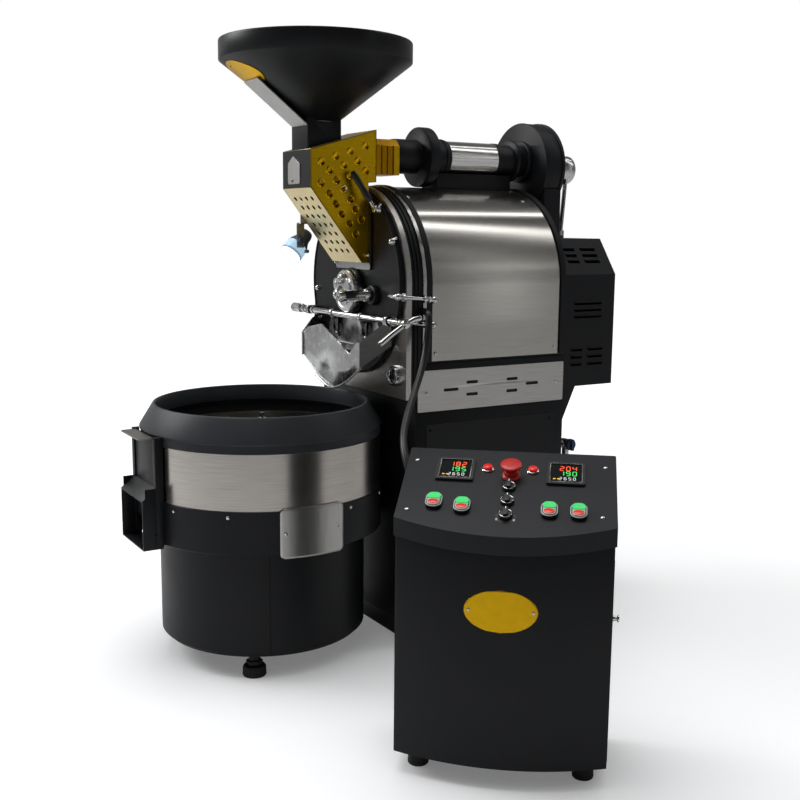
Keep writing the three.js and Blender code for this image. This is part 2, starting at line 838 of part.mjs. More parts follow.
// Scoop in front of the discharge door: two side walls and a notched front wall, open below
function scoop() {
  const y0 = plateY - gap;
  const yKnee = y0 - scoopKneeShare * scoopDepth;
  const y1 = y0 - scoopDepth;
  const edge = (share) => scoopLipZ + scoopHeight * share;
  const rearEdgeZ = edge(scoopRearEdgeShare);
  const frontEdgeZ = edge(scoopFrontEdgeShare);
  const cornerZ = edge(scoopCornerShare);
  const hornZ = edge(scoopHornShare);
  const kneeHalf = THREE.MathUtils.lerp(scoopRearHalfWidth, scoopFrontHalfWidth, scoopKneeShare);
  const kneeEdgeZ = THREE.MathUtils.lerp(rearEdgeZ, frontEdgeZ, scoopKneeShare);
  const wall = (side, half, bottomZ, topZ) => {
    const edges = [side * (half - scoopWall), side * half].sort((a, b) => a - b);
    return [[edges[0], bottomZ], [edges[1], bottomZ], [edges[1], topZ], [edges[0], topZ]];
  };
  const w = scoopFrontHalfWidth;
  const outline = [[-w, frontEdgeZ]];
  for (let i = 1; i < small; i += 1) {
    const share = (2 * i) / small - 1;
    outline.push([w * share, scoopLipZ + (frontEdgeZ - scoopLipZ) * Math.abs(share) ** 1.6]);
  }
  outline.push([w, frontEdgeZ], [w, cornerZ], [w / 2, cornerZ], [w / 8, edge(scoopNotchShare)],
    [-w / 3, hornZ], [-w * 0.7, hornZ], [-w, cornerZ]);
  let body = prismY(outline, y1, y1 + scoopWall);
  for (const side of [-1, 1]) {
    body = join(body,
      loft(wall(side, scoopRearHalfWidth, rearEdgeZ, scoopTopZ), y0,
        wall(side, kneeHalf, kneeEdgeZ, scoopTopZ), yKnee),
      loft(wall(side, kneeHalf, kneeEdgeZ, scoopTopZ), yKnee + gap,
        wall(side, w, frontEdgeZ, cornerZ), y1));
  }
  return body;
}

function dischargeDoor() {
  const y1 = plateY - gap;
  const y0 = y1 - doorThickness;
  const topZ = doorBottomZ + doorHeight;
  let body = block(-doorHalfWidth, doorHalfWidth, y0, y1, doorBottomZ, topZ);
  for (const side of [-1, 1]) {
    const x = side * (armX - armWidth / 2 - gap);
    const half = armWidth / 2;
    body = join(body,
      block(x - half, x + half, y0 - armThickness, y0 + gap, doorBottomZ + armWidth, rodHeight),
      block(x - half, x + half, rodY0, y0, rodHeight - collarRadius, rodHeight + collarRadius / 2),
      rodX(rodY0, rodHeight, collarRadius, x - half, x + half));
  }
  return body.subtract(rodX(rodY0, rodHeight, rodRadius + gap, -armX - armWidth, armX + armWidth));
}

function doorRod() {
  return join(rodX(rodY0, rodHeight, rodRadius, -rodLeft - weightLength / 2, rodRight),
    rodX(rodY0, rodHeight, weightRadius, -rodLeft - weightLength, -rodLeft));
}

function gripLever() {
  const slope = THREE.MathUtils.degToRad(leverSlope);
  const along = (t) => [leverX, rodY0 - t * Math.cos(slope), rodHeight - t * Math.sin(slope)];
  return cut(
    join(bar(along(-leverRearReach), along(leverFrontReach), leverRadius),
      rodX(rodY0, rodHeight, collarRadius, leverX - collarWidth / 2, leverX + collarWidth / 2)),
    rodX(rodY0, rodHeight, rodRadius + gap, leverX - collarWidth, leverX + collarWidth));
}

function trier() {
  const y0 = plateY - trierOut;
  const y1 = plateY + trierIn;
  const scoopY = plateY + 2 * trierRadius;
  return cut(rodY(trierX, trierZ, trierRadius, y0, y1),
    block(trierX - trierRadius, trierX + trierRadius, scoopY, y1 - trierRadius,
      trierZ + trierRadius / 4, trierZ + trierRadius + over));
}

// Feed chute: two side plates, sloping floor, head and lid folded from one sheet
function chute() {
  const side = (inset) => [
    [plateY - chuteFrontReach + inset, chuteHeadBottomZ + inset * 0.6],
    [plateY - chuteFootReach + inset * 0.5, chuteFootZ + inset],
    [plateY - chuteBackOff + (inset ? over : 0), chuteFootZ + inset],
    [plateY - chuteBackOff + (inset ? over : 0), chuteStepZ + inset],
    [plateY + chuteRearReach - inset, chuteStepZ + inset],
    [plateY + chuteRearReach - inset, chuteRearTopZ - inset * 1.3],
    [plateY - chuteFrontReach + inset, chuteHeadTopZ - inset],
  ];
  const outer = join(
    prismX(side(0), -chuteHalfWidth, chuteHalfWidth),
    block(-flangeHalfWidth, flangeHalfWidth, plateY - chuteBackOff, plateY - gap,
      flangeBottomZ, flangeTopZ));
  const room = prismX(side(chuteWall), -chuteHalfWidth + chuteWall, chuteHalfWidth - chuteWall);
  const front = block(-chuteHalfWidth - flangeHalfWidth, chuteHalfWidth + flangeHalfWidth,
    plateY - gap, plateY + chuteRearReach + over, flangeBottomZ - over, chuteStepZ);
  const neck = neckHalf + gap;
  const hopperY = plateY - hopperReach;
  const neckHole = block(-neck, neck, hopperY - neck, hopperY + neck, chuteHeadTopZ - over, hopperTopZ);
  const exhaustHole = block(-elbowHalfWidth + chuteWall, elbowHalfWidth - chuteWall, plateY,
    plateY + chuteRearReach + over, exhaustZ - elbowBelow + chuteWall, exhaustZ + elbowAbove - chuteWall);
  const flangeHole = block(-entryHalfWidth, entryHalfWidth, plateY - chuteBackOff - over, plateY + over,
    entryBottomZ, entryBottomZ + entryHeight);
  const flangeRest = block(-chuteHalfWidth + chuteWall, chuteHalfWidth - chuteWall,
    plateY - chuteBackOff, plateY - gap, chuteFootZ, flangeTopZ);
  return cut(outer, room, front, neckHole, exhaustHole, flangeHole).add(
    cut(flangeRest, flangeHole));
}

// Hopper: rim band, cone and square neck, with the slot for its blade
const gateSlope = Math.atan2(hopperRimBottomZ - hopperNeckZ, hopperRadius - hopperNeckRadius);

function blade(grow) {
  const y = plateY - hopperReach;
  const innerY = y + neckHalf - hopperWall - 2 * runGap;
  const slopeDrop = (innerY - (y - neckHalf)) * Math.tan(gateSlope);
  const enterZ = hopperNeckZ - gateDrop;
  const length = (innerY - (y - neckHalf)) / Math.cos(gateSlope) + gateOutside;
  const shape = new THREE.BoxGeometry(2 * (gateHalfWidth + grow), length + 2 * grow,
    gateThickness + 2 * grow);
  shape.translate(0, -length / 2, -gateThickness / 2).rotateX(-gateSlope);
  return solid(shape.translate(0, innerY, enterZ - slopeDrop));
}

function hopper() {
  const y = plateY - hopperReach;
  const inner = hopperWall;
  const coneOuter = turned([[0, hopperNeckZ], [hopperNeckRadius, hopperNeckZ],
    [hopperRadius, hopperRimBottomZ], [hopperRadius, hopperTopZ], [0, hopperTopZ]], 0, y);
  const coneInner = turned([[0, hopperNeckZ - gap], [hopperNeckRadius - inner, hopperNeckZ - gap],
    [hopperRadius - inner, hopperRimBottomZ], [hopperRadius - inner, hopperTopZ + over],
    [0, hopperTopZ + over]], 0, y);
  const neckOuter = block(-neckHalf, neckHalf, y - neckHalf, y + neckHalf, neckBottomZ,
    hopperNeckZ + neckHalf / 4);
  const room = neckHalf - inner;
  const neckInner = block(-room, room, y - room, y + room, neckBottomZ - over, hopperNeckZ + neckHalf);
  return cut(join(coneOuter, neckOuter), coneInner, neckInner, blade(2 * gap));
}

function hopperGate() {
  return blade(0);
}

// Exhaust line from the chute to the blower
function exhaustElbow() {
  const w = elbowHalfWidth;
  const c = elbowChamfer;
  const z0 = exhaustZ - elbowBelow;
  const z1 = exhaustZ + elbowAbove;
  const outline = (t) => [[-w + t, z0 + t], [w - t, z0 + t], [w - t, z1 - c], [w - c, z1 - t],
    [-w + c, z1 - t], [-w + t, z1 - c]];
  const y0 = plateY + chuteRearReach + gap;
  const y1 = plateY + elbowEndReach;
  return cut(prismY(outline(0), y0, y1), prismY(outline(chuteWall), y0 - over, y1 + over));
}

function damperHousing() {
  const y0 = plateY + elbowEndReach + gap;
  const discY = plateY + discReach;
  const y1 = plateY + pipeStartReach;
  const bodyZ = exhaustZ;
  const line = join(rodY(0, bodyZ, stubRadius, y0, discY + gap),
    rodY(0, bodyZ, discRadius, discY, discY + discThickness, fine),
    rodY(0, bodyZ, collarLineRadius, discY + discThickness - gap, y1));
  const bore = rodY(0, bodyZ, stubRadius - pipeWall, y0 - over, y1 + over);
  const saddle = block(-saddleHalfWidth, saddleHalfWidth, plateY + saddleStartReach,
    plateY + saddleEndReach, archZ + casingRadius / 2, bodyZ - saddleTopDrop);
  const casingCut = rodY(0, archZ, casingRadius + coverThickness + 2 * gap, plateY, casingEndY + over, 2 * fine);
  const pipeCut = rodY(0, bodyZ, pipeRadius + gap, y1 - gap, plateY + saddleEndReach + over, fine);
  return join(cut(line, bore), cut(saddle, casingCut, pipeCut, bore));
}

function exhaustPipe() {
  const y0 = plateY + pipeStartReach + gap;
  const y1 = plateY + pipeEndReach;
  return cut(rodY(0, exhaustZ, pipeRadius, y0, y1, fine),
    rodY(0, exhaustZ, pipeRadius - pipeWall, y0 - over, y1 + over, fine));
}

function blowerInlet() {
  const y0 = plateY + pipeEndReach + gap;
  const ringY = plateY + inletRingReach;
  const y1 = plateY + blowerReach - gap;
  return cut(
    join(rodY(0, exhaustZ, inletRadius, y0, y1), rodY(0, exhaustZ, inletRingRadius, ringY, ringY + inletRingWidth),
      rodY(0, exhaustZ, inletRingRadius, y1 - inletRingWidth, y1)),
    rodY(0, exhaustZ, inletRadius - pipeWall, y0 - over, y1 + over));
}

// Spiral outline of the blower, widening round to an outlet that points down on the left
function spiral(inset) {
  const points = [];
  const startAngle = -Math.PI / 2;
  for (let i = 0; i <= fine / 2; i += 1) {
    const angle = startAngle + (1.5 * Math.PI * i) / (fine / 2);
    const turn = Math.max(0, angle) / Math.PI;
    const r = blowerRadius + blowerGrowth * turn * turn - inset;
    points.push([r * Math.cos(angle), blowerZ + r * Math.sin(angle)]);
  }
  const outer = blowerRadius + blowerGrowth - inset;
  points.push([-outer, outletBottomZ - (inset ? over : 0)]);
  points.push([-outer + outletWidth - inset, outletBottomZ - (inset ? over : 0)]);
  points.push([-outer + outletWidth - inset, blowerZ - blowerRadius + inset]);
  return points;
}

const blowerY = plateY + blowerReach;

function blowerHousing() {
  const y1 = blowerY + blowerDepth;
  const rim = spiral(-blowerRimRise).slice(0, fine / 2 + 1);
  const body = join(prismY(spiral(0), blowerY, y1), prismY(rim, y1 - blowerRimWidth, y1),
    block(-footHalfWidth / 2, footHalfWidth, blowerY + blowerWall, y1 - blowerWall,
      rearTopZ + gap, blowerZ - blowerRadius * footTopShare));
  return cut(body, prismY(spiral(blowerWall), blowerY + blowerWall, y1 - blowerWall),
    rodY(0, exhaustZ, inletRadius - pipeWall, blowerY - over, blowerY + blowerWall + over),
    rodY(0, blowerZ, fanShaftRadius + gap, y1 - blowerWall - over, y1 + over));
}

function impeller() {
  const y0 = blowerY + blowerWall + runGap;
  let body = join(rodY(0, blowerZ, impellerRadius, y0 + impellerDepth - blowerWall, y0 + impellerDepth, fine),
    rodY(0, blowerZ, fanShaftRadius, y0, blowerY + blowerDepth + fanShaftRadius));
  const ring = impellerRadius * 0.45;
  for (let i = 0; i < impellerBlades; i += 1) {
    const fin = new THREE.BoxGeometry(impellerRadius - ring, impellerDepth, impellerBladeThickness);
    fin.translate((impellerRadius + ring) / 2 - gap, y0 + impellerDepth / 2, 0);
    fin.rotateY((i / impellerBlades) * 2 * Math.PI).translate(0, 0, blowerZ);
    body = body.add(solid(fin));
  }
  return body;
}

function blowerMotor() {
  const y0 = blowerY + blowerDepth + gap;
  const y1 = y0 + fanMotorLength;
  const strutTop = [fanMotorRadius * 0.6, y0 + fanMotorLength * strutTopShare, blowerZ - fanMotorRadius * 0.6];
  const strutFoot = [fanMotorRadius * 1.35, rearY + rearDepth * strutFootShare, rearTopZ + gap];
  const body = join(rodY(0, blowerZ, fanMotorRadius, y0, y1, fine), bar(strutTop,
    [strutFoot[0], strutFoot[1], strutFoot[2] - strutRadius], strutRadius));
  return cut(body, rodY(0, blowerZ, fanShaftRadius + gap, y0 - over, y0 + fanShaftRadius + gap),
    block(-rearHalfWidth, rearHalfWidth, rearY, rearY + rearDepth, rearTopZ - fanMotorRadius, rearTopZ + gap));
}

// Louvred cover over the drive, with its two braces to the pedestal
function rearCover() {
  const endY = rearY + rearDepth;
  const outline = (t) => [[-rearHalfWidth + t, rearBottomZ + t], [rearHalfWidth - t, rearBottomZ + t],
    [rearHalfWidth - t, rearTopZ - rearSlopeDrop - t / 2], [rearTopHalf - t / 2, rearTopZ - t],
    [-rearTopHalf + t / 2, rearTopZ - t], [-rearHalfWidth + t, rearTopZ - rearSlopeDrop - t / 2]];
  let body = cut(prismY(outline(0), rearY, endY), prismY(outline(rearWall), rearY - over, endY - rearWall));
  for (const side of [-1, 1]) {
    const x = side * braceX;
    const topZ = rearBottomZ + gap;
    body = body.add(prismX([[rearY, braceBottomZ], [rearY + braceDepth, topZ], [rearY, topZ]],
      x - braceThickness / 2, x + braceThickness / 2));
  }
  const slotShares = [[0.164, 0.379], [0.493, 0.793]];
  const longShares = [[0.2, 0.743]];
  const rowShares = [[0.915, slotShares], [0.875, slotShares], [0.835, slotShares],
    [0.555, longShares], [0.51, longShares], [0.465, longShares],
    [0.24, slotShares], [0.19, slotShares], [0.14, slotShares]];
  for (const [heightShare, spans] of rowShares) {
    const z = rearBottomZ + (rearTopZ - rearBottomZ) * heightShare;
    for (const [from, to] of spans) {
      body = body.subtract(block(-rearHalfWidth - over, rearHalfWidth + over,
        rearY + rearDepth * from, rearY + rearDepth * to, z, z + louvreHeight));
    }
  }
  return body;
}

// Work lamp on the left of the chute
const lampY = plateY - lampBracketReach;

function lampBracket() {
  const x1 = -chuteHalfWidth - gap;
  const x0 = x1 - lampBracketThickness;
  const armX1 = x1 - lampArm;
  const y0 = lampY - lampBracketWidth / 2;
  const y1 = lampY + lampBracketWidth / 2;
  return cut(join(block(x0, x1, y0, y1, lampBracketZ - lampBracketWidth, lampBracketZ + lampBracketWidth / 2),
    block(armX1 - lampBracketThickness, x1, y0, y1, lampBracketZ - lampBracketWidth,
      lampBracketZ - lampBracketWidth + lampBracketThickness),
    block(armX1 - lampBracketThickness, armX1, y0, y1, lampBracketZ - lampBracketDrop,
      lampBracketZ - lampBracketWidth + gap)),
  rodX(lampY, lampPivotZ, lampPinRadius + gap, armX1 - 2 * lampBracketThickness, armX1 + over, small));
}

function lampHead() {
  const pivotX = -chuteHalfWidth - gap - lampArm;
  const x = pivotX - 2 * lampBracketThickness - lampRadius - lampClear;
  const can = new THREE.CylinderGeometry(lampRadius * lampNeckShare, lampRadius, lampLength, coarse);
  can.rotateX(THREE.MathUtils.degToRad(lampTilt)).rotateZ(THREE.MathUtils.degToRad(lampYaw));
  can.translate(x, lampY, lampPivotZ);
  return join(solid(can),
    rodX(lampY, lampPivotZ, lampPinRadius, x, pivotX + 2 * lampBracketThickness, small),
    rodX(lampY, lampPivotZ, 2 * lampPinRadius, pivotX + gap, pivotX + 3 * lampBracketThickness, small));
}

const damperTurn = THREE.MathUtils.degToRad(damperAngle);
const damperX = (roundPlateRadius - damperStep) * Math.cos(damperTurn);
const damperZ = archZ + (roundPlateRadius - damperStep) * Math.sin(damperTurn);

function damperLever() {
  const from = [damperX, plateY - damperBossDepth + damperBossRadius / 2, damperZ];
  const aim = new THREE.Vector3(-0.28, -0.45, 0.85).normalize();
  const along = (t) => [from[0] + aim.x * t, from[1] + aim.y * t, from[2] + aim.z * t];
  return join(rodY(damperX, damperZ, damperBossRadius, plateY - damperBossDepth, plateY - gap),
    bar(from, along(damperRodLength + gap), damperRodRadius),
    bar(along(damperRodLength), along(damperRodLength + damperGripLength), damperGripRadius));
}

// Cooling bin
const binFrontY = binY - binLowerRadius;
const gateY = binFrontY - gap;
const mouthHalf = outletHalfWidth - mouthInset;

function binMouth() {
  return block(-mouthHalf + gap, mouthHalf - gap, binFrontY - over, binY - binLowerRadius / 2,
    binFloorZ + binFloorThickness + gap, outletRearTopZ - outletWall);
}

function binBase() {
  const inner = binBaseRadius - binWall;
  const topZ = binShoulderZ - gap;
  return turned([[0, binBottomZ], [binBaseRadius, binBottomZ], [binBaseRadius, topZ], [inner, topZ],
    [inner, binBottomZ + binWall], [0, binBottomZ + binWall]], 0, binY);
}

function binLowerBand() {
  const w = binWall;
  const ledgeZ = binFloorZ - gap;
  const inner = binLowerRadius - w;
  const seat = binBaseRadius - binLedge;
  return turned([[seat, binShoulderZ], [binLowerRadius, binShoulderZ], [binLowerRadius, binBandZ],
    [inner, binBandZ], [inner, ledgeZ], [inner - binLedge, ledgeZ], [inner - binLedge, ledgeZ - w],
    [inner, ledgeZ - w], [inner, binShoulderZ + w], [seat, binShoulderZ + w]], 0, binY)
    .subtract(binMouth());
}

function binBand() {
  const r = binLowerRadius - binBandStep;
  return turned([[r - binWall, binBandZ + gap], [r, binBandZ + gap], [r, binBandTopZ],
    [r - binWall, binBandTopZ]], 0, binY).subtract(binMouth());
}

function binRim() {
  const r = binLowerRadius - binBandStep;
  const bottom = binBandTopZ + gap;
  const inside = binLipRadius - binLipWall;
  return turned([[r - binWall, bottom], [r, bottom], [r, binFlareZ - binWall], [binLowerRadius, binFlareZ - binWall],
    [binLowerRadius, binFlareZ], [binLipRadius, binLipZ], [inside, binLipZ], [inside, binFlareZ],
    [r - binWall, binFlareZ - binWall]], 0, binY);
}

function binFloor() {
  return turned([[stirrerShaftRadius + runGap, binFloorZ], [binLowerRadius - binWall - 2 * runGap, binFloorZ],
    [binLowerRadius - binWall - 2 * runGap, binFloorZ + binFloorThickness],
    [stirrerShaftRadius + runGap, binFloorZ + binFloorThickness]], 0, binY);
}

function stirrer() {
  const seatZ = motorTopZ - stirrerShaftSeat;
  const hubZ = binFloorZ + binFloorThickness + runGap;
  let body = join(rodZ(0, binY, stirrerShaftRadius, seatZ, stirrerTopZ),
    rodZ(0, binY, stirrerHubRadius, hubZ, hubZ + stirrerHubHeight));
  const armZ = hubZ + paddleHeight - stirrerArmHeight;
  for (let i = 0; i < stirrerArmCount; i += 1) {
    const angle = (i / stirrerArmCount) * 2 * Math.PI + Math.PI / 4;
    const reach = i % 2 ? stirrerArmReach * 0.72 : stirrerArmReach;
    const arm = new THREE.BoxGeometry(reach, stirrerArmWidth, stirrerArmHeight);
    arm.translate(reach / 2, 0, armZ + stirrerArmHeight / 2);
    const paddle = new THREE.BoxGeometry(paddleLength, paddleThickness, paddleHeight);
    paddle.rotateZ(i % 2 ? Math.PI / 8 : -Math.PI / 8);
    paddle.translate(reach - paddleLength / 2, 0, hubZ + paddleHeight / 2);
    body = join(body, solid(arm.rotateZ(angle).translate(0, binY, 0)),
      solid(paddle.rotateZ(angle).translate(0, binY, 0)));
  }
  return body;
}

function stirrerMotor() {
  return cut(rodZ(0, binY, stirrerMotorRadius, binBottomZ + binWall + gap, motorTopZ, fine),
    rodZ(0, binY, stirrerShaftRadius + gap, motorTopZ - stirrerShaftSeat - gap, motorTopZ + over));
}

function outletDuct() {
  const y0 = binY - outletReach;
  const yIn = binFrontY + binWall;
  const rearTop = outletRearTopZ;
  const side = (t, ends) => [[y0 - ends, outletFloorZ + t], [yIn + ends, outletFloorZ + t],
    [yIn + ends, rearTop - t], [gateY - gatePlateThickness - 2 * gap, rearTop - t],
    [y0, outletTopZ - t], [y0 - ends, outletTopZ - t]];
  const tube = cut(prismX(side(0, 0), -outletHalfWidth, outletHalfWidth),
    prismX(side(outletWall, over), -outletHalfWidth + outletWall, outletHalfWidth - outletWall));
  let body = tube;
  for (const s of [-1, 1]) {
    const x0 = s * mouthHalf;
    const x1 = s * (mouthHalf + railWidth);
    body = body.add(block(Math.min(x0, x1), Math.max(x0, x1), gateY - gatePlateThickness - outletWall,
      binY - binLowerRadius * 0.92, binShoulderZ, binFlareZ - binWall - gap));
  }
  const slotHalf = mouthHalf + outletWall;
  return cut(body, rodZ(0, binY, binLowerRadius + gap, outletFloorZ - over, binFlareZ + over, 2 * fine),
    block(-slotHalf, slotHalf, gateY - gatePlateThickness - gap, gateY + gap, binFloorZ - 2 * gap, binLipZ));
}

function binGate() {
  const half = mouthHalf + outletWall - gap;
  const y0 = gateY - gatePlateThickness;
  const handleHalf = mouthHalf - gap;
  return join(block(-half, half, y0, gateY, binFloorZ, gatePlateTopZ),
    block(-handleHalf, handleHalf, y0 - gateHandleReach, y0 + gap,
      gatePlateTopZ - gatePlateThickness, gatePlateTopZ));
}

function binFootRing() {
  const z1 = binBottomZ - gap;
  let body = turned([[binFootCircle - binFootRingHalf, binFootHeight], [binFootCircle + binFootRingHalf,
    binFootHeight], [binFootCircle + binFootRingHalf, z1], [binFootCircle - binFootRingHalf, z1]], 0, binY);
  for (let i = 0; i < binFootCount; i += 1) {
    const angle = THREE.MathUtils.degToRad(binFootAngle) + (i / binFootCount) * 2 * Math.PI;
    body = body.add(rodZ(binFootCircle * Math.cos(angle), binY + binFootCircle * Math.sin(angle),
      binFootRadius, 0, binFootHeight + gap));
  }
  return body;
}

// Control cabinet
const cabinet = new THREE.Group();
cabinet.position.set(cabinetX, cabinetY, 0);
cabinet.rotation.z = THREE.MathUtils.degToRad(cabinetYaw);
root.add(cabinet);

const consoleSlope = Math.atan2(cabinetRearZ - cabinetFrontZ, cabinetDepth);

function cabinetOutline(inset) {
  const points = [[cabinetWidth - inset, cabinetDepth - inset], [inset, cabinetDepth - inset]];
  const steps = small;
  for (let i = 0; i <= steps; i += 1) {
    const share = (2 * i) / steps - 1;
    const u = inset + ((cabinetWidth - 2 * inset) * i) / steps;
    points.push([u, inset - cabinetBulge * (1 - share * share)]);
  }
  return points;
}

// Everything below a plane parallel to the console's top, this far under it
function underSlope(drop) {
  const reach = 2 * cabinetDepth;
  const frontZ = cabinetFrontZ - drop - Math.tan(consoleSlope) * reach;
  const rearZ = cabinetFrontZ - drop + Math.tan(consoleSlope) * reach;
  return prismX([[-reach, -over], [reach, -over], [reach, rearZ], [-reach, frontZ]],
    -over, cabinetWidth + over);
}

function cabinetBody() {
  const outer = prismZ(cabinetOutline(cabinetInset), cabinetBottomZ, cabinetRearZ + over)
    .intersect(underSlope(apronHeight + gap));
  const room = prismZ(cabinetOutline(cabinetInset + cabinetWall), cabinetBottomZ + cabinetWall,
    cabinetRearZ + 2 * over);
  const gland = rodY(glandInset, glandZ, glandRadius, cabinetDepth - cabinetInset - gap,
    cabinetDepth - cabinetInset + glandLength, small);
  return join(cut(outer, room), gland);
}

const consoleTop = new THREE.Group();
consoleTop.position.set(0, cabinetDepth, cabinetRearZ);
consoleTop.rotation.x = consoleSlope;
cabinet.add(consoleTop);

// A piece of the console's own level is carried into the cabinet's frame
function onConsole(body) {
  const turn = new THREE.Matrix4().makeRotationX(consoleSlope);
  turn.setPosition(0, cabinetDepth, cabinetRearZ);
  const shape = surface(body).applyMatrix4(turn);
  return solid(shape);
}

const across = (share) => cabinetWidth * share;
const down = (share) => consoleLength * share;
const twinPlaces = twinUShares.map((share, i) => [across(share), down(twinVShares[i])]);
const stopU = across(stopUShare);
const stopV = down(stopVShare);

function consolePanel() {
  let cap = prismZ(cabinetOutline(0), 0, cabinetRearZ + over)
    .intersect(underSlope(0)).subtract(underSlope(apronHeight));
  const fixtures = [];
  const meterV = down(meterVShare);
  for (const share of meterUShares) {
    const u = across(share);
    fixtures.push(block(u, u + meterSize, -meterV - meterSize, -meterV, -gap, meterProud));
  }
  for (const share of pilotUShares) {
    fixtures.push(rodZ(across(share), -down(pilotVShare), pilotRadius, -gap, pilotProud));
  }
  twinPlaces.forEach(([u, v]) => {
    fixtures.push(block(u - twinWidth / 2, u + twinWidth / 2, -v - twinLength / 2,
      -v + twinLength / 2, -gap, twinProud));
  });
  for (const fixture of fixtures) cap = cap.add(onConsole(fixture));
  const stopHole = rodZ(stopU, -stopV, stopStemRadius + gap, -stopStemSeat - stopTravel - gap, over);
  const pockets = capPlaces().map(([u, v]) => onConsole(capPocket(u, v)));
  return cut(cap, onConsole(stopHole), ...pockets);
}

function capPlaces() {
  return twinPlaces.flatMap(([u, v]) => [[u, v - capSpacing / 2], [u, v + capSpacing / 2]]);
}

function capBlock(u, v, grow, bottomZ, topZ) {
  const halfWidth = capWidth / 2 + grow;
  const halfLength = capLength / 2 + grow;
  return block(u - halfWidth, u + halfWidth, -v - halfLength, -v + halfLength, bottomZ, topZ);
}

function capBody(u, v) {
  return capBlock(u, v, 0, twinProud - capDepth, twinProud + capProud);
}

function capPocket(u, v) {
  return capBlock(u, v, gap, twinProud - capDepth - capTravel - gap, twinProud + over);
}

function cabinetFeet() {
  const front = cabinetFootInset;
  const rear = cabinetDepth - cabinetFootInset;
  const top = cabinetBottomZ - gap;
  let body = block(cabinetFootInset - cabinetFootRadius, cabinetWidth - cabinetFootInset + cabinetFootRadius,
    front - cabinetFootRadius, rear + cabinetFootRadius, top - cabinetFootPlate, top);
  for (const u of [cabinetFootInset, cabinetWidth - cabinetFootInset]) {
    for (const v of [front, rear]) body = body.add(rodZ(u, v, cabinetFootRadius, 0, top));
  }
  return body;
}

function stopButton() {
  return join(rodZ(stopU, -stopV, stopStemRadius, -stopStemSeat, stopStemHeight + gap),
    rodZ(stopU, -stopV, stopRadius, stopStemHeight, stopStemHeight + stopHeadHeight));
}

function selector(v) {
  const selectorU = across(selectorUShare);
  return join(rodZ(selectorU, -v, selectorRadius, gap, selectorHeight / 2),
    block(selectorU - selectorFin / 2, selectorU + selectorFin / 2, -v - selectorRadius * 0.9,
      -v + selectorRadius * 0.9, selectorHeight / 2 - gap, selectorHeight));
}

// Conduit: out of the casing's flange, down under its own weight, into the cabinet's back
const conduitPoints = [
  [229.3, -202.5, 812], [242, -202.6, 812], [254, -203, 808.5], [261.5, -204.5, 799], [265, -207, 784],
  [268.5, -211.5, 766], [273.5, -217, 746], [286, -230.8, 711], [306.5, -255.3, 674], [331.9, -286.5, 639.9],
  [364.7, -320.6, 607.7], [398.8, -352.1, 576.6], [427.1, -371.1, 553.7], [452, -380.5, 530],
  [474, -384, 503], [492, -382, 474], [507, -376, 446], [521, -373, 422], [535, -378.5, 406],
  [550.4, -390, 400], [564.3, -401.8, 400],
];

function conduit() {
  const curve = new THREE.CatmullRomCurve3(conduitPoints.map(([x, y, z]) => new THREE.Vector3(x, y, z)));
  const ring = [];
  for (let i = 0; i < conduitSides; i += 1) {
    const angle = (i / conduitSides) * 2 * Math.PI;
    ring.push(new THREE.Vector2(conduitRadius * Math.cos(angle), conduitRadius * Math.sin(angle)));
  }
  const shape = new THREE.ExtrudeGeometry(new THREE.Shape(ring),
    { steps: conduitSteps, extrudePath: curve, bevelEnabled: false });
  return solid(shape);
}

// Assembly
place('pedestal', pedestal(), blackPaint);
place('drum_casing', drumCasing(), blackPaint);
place('casing_cover', casingCover(), brushedSteel);
place('face_plate', facePlate(), brushedSteel);
place('round_front_plate', roundFrontPlate(), blackPaint);
place('trim_plate', trimPlate(), brushedSteel);
place('drum', drum(), rawSteel);
place('drum_shaft', drumShaft(), rawSteel);
place('drive_sprocket', driveSprocket(), rawSteel);
place('drive_chain', driveChain(), rawSteel);
place('drive_motor', driveMotor(), blackPaint);
place('front_bearing', frontBearing(), castAluminium);
place('burner', burner(), rawSteel);
place('gas_valve', gasValve(), chrome);
place('gas_valve_knob', gasKnob(), bluePlastic);
place('discharge_scoop', scoop(), castAluminium);
place('discharge_door', dischargeDoor(), castAluminium);
place('door_rod', doorRod(), chrome);
place('door_lever', gripLever(), chrome);
place('sample_trier', trier(), chrome);
place('feed_chute', chute(), goldSteel);
place('hopper', hopper(), blackPaint);
place('hopper_gate', hopperGate(), rawSteel);
place('exhaust_elbow', exhaustElbow(), goldSteel);
place('damper_housing', damperHousing(), blackPaint);
place('exhaust_pipe', exhaustPipe(), brushedSteel);
place('blower_inlet', blowerInlet(), blackPaint);
place('blower_housing', blowerHousing(), blackPaint);
place('blower_impeller', impeller(), rawSteel);
place('blower_motor', blowerMotor(), castAluminium);
place('rear_cover', rearCover(), blackPaint);
place('lamp_bracket', lampBracket(), rawSteel);
place('lamp_head', lampHead(), blackPaint);
place('damper_lever', damperLever(), rawSteel);
place('bin_base', binBase(), blackPaint);
place('bin_lower_band', binLowerBand(), blackPaint);
place('bin_band', binBand(), brushedSteel);
place('bin_rim', binRim(), blackPaint);
place('bin_floor', binFloor(), rawSteel);
place('stirrer', stirrer(), rawSteel);
place('stirrer_motor', stirrerMotor(), blackPaint);
place('outlet_duct', outletDuct(), blackPaint);
place('bin_gate', binGate(), brushedSteel);
place('bin_foot_ring', binFootRing(), rubber);
place('cabinet_body', cabinetBody(), blackPaint, cabinet);
place('console_panel', consolePanel(), blackPaint, cabinet);
place('cabinet_feet', cabinetFeet(), rubber, cabinet);
place('stop_button', stopButton(), redPlastic, consoleTop);
selectorVShares.forEach((share, i) => {
  place(`selector_${i + 1}`, selector(down(share)), blackPlastic, consoleTop);
});
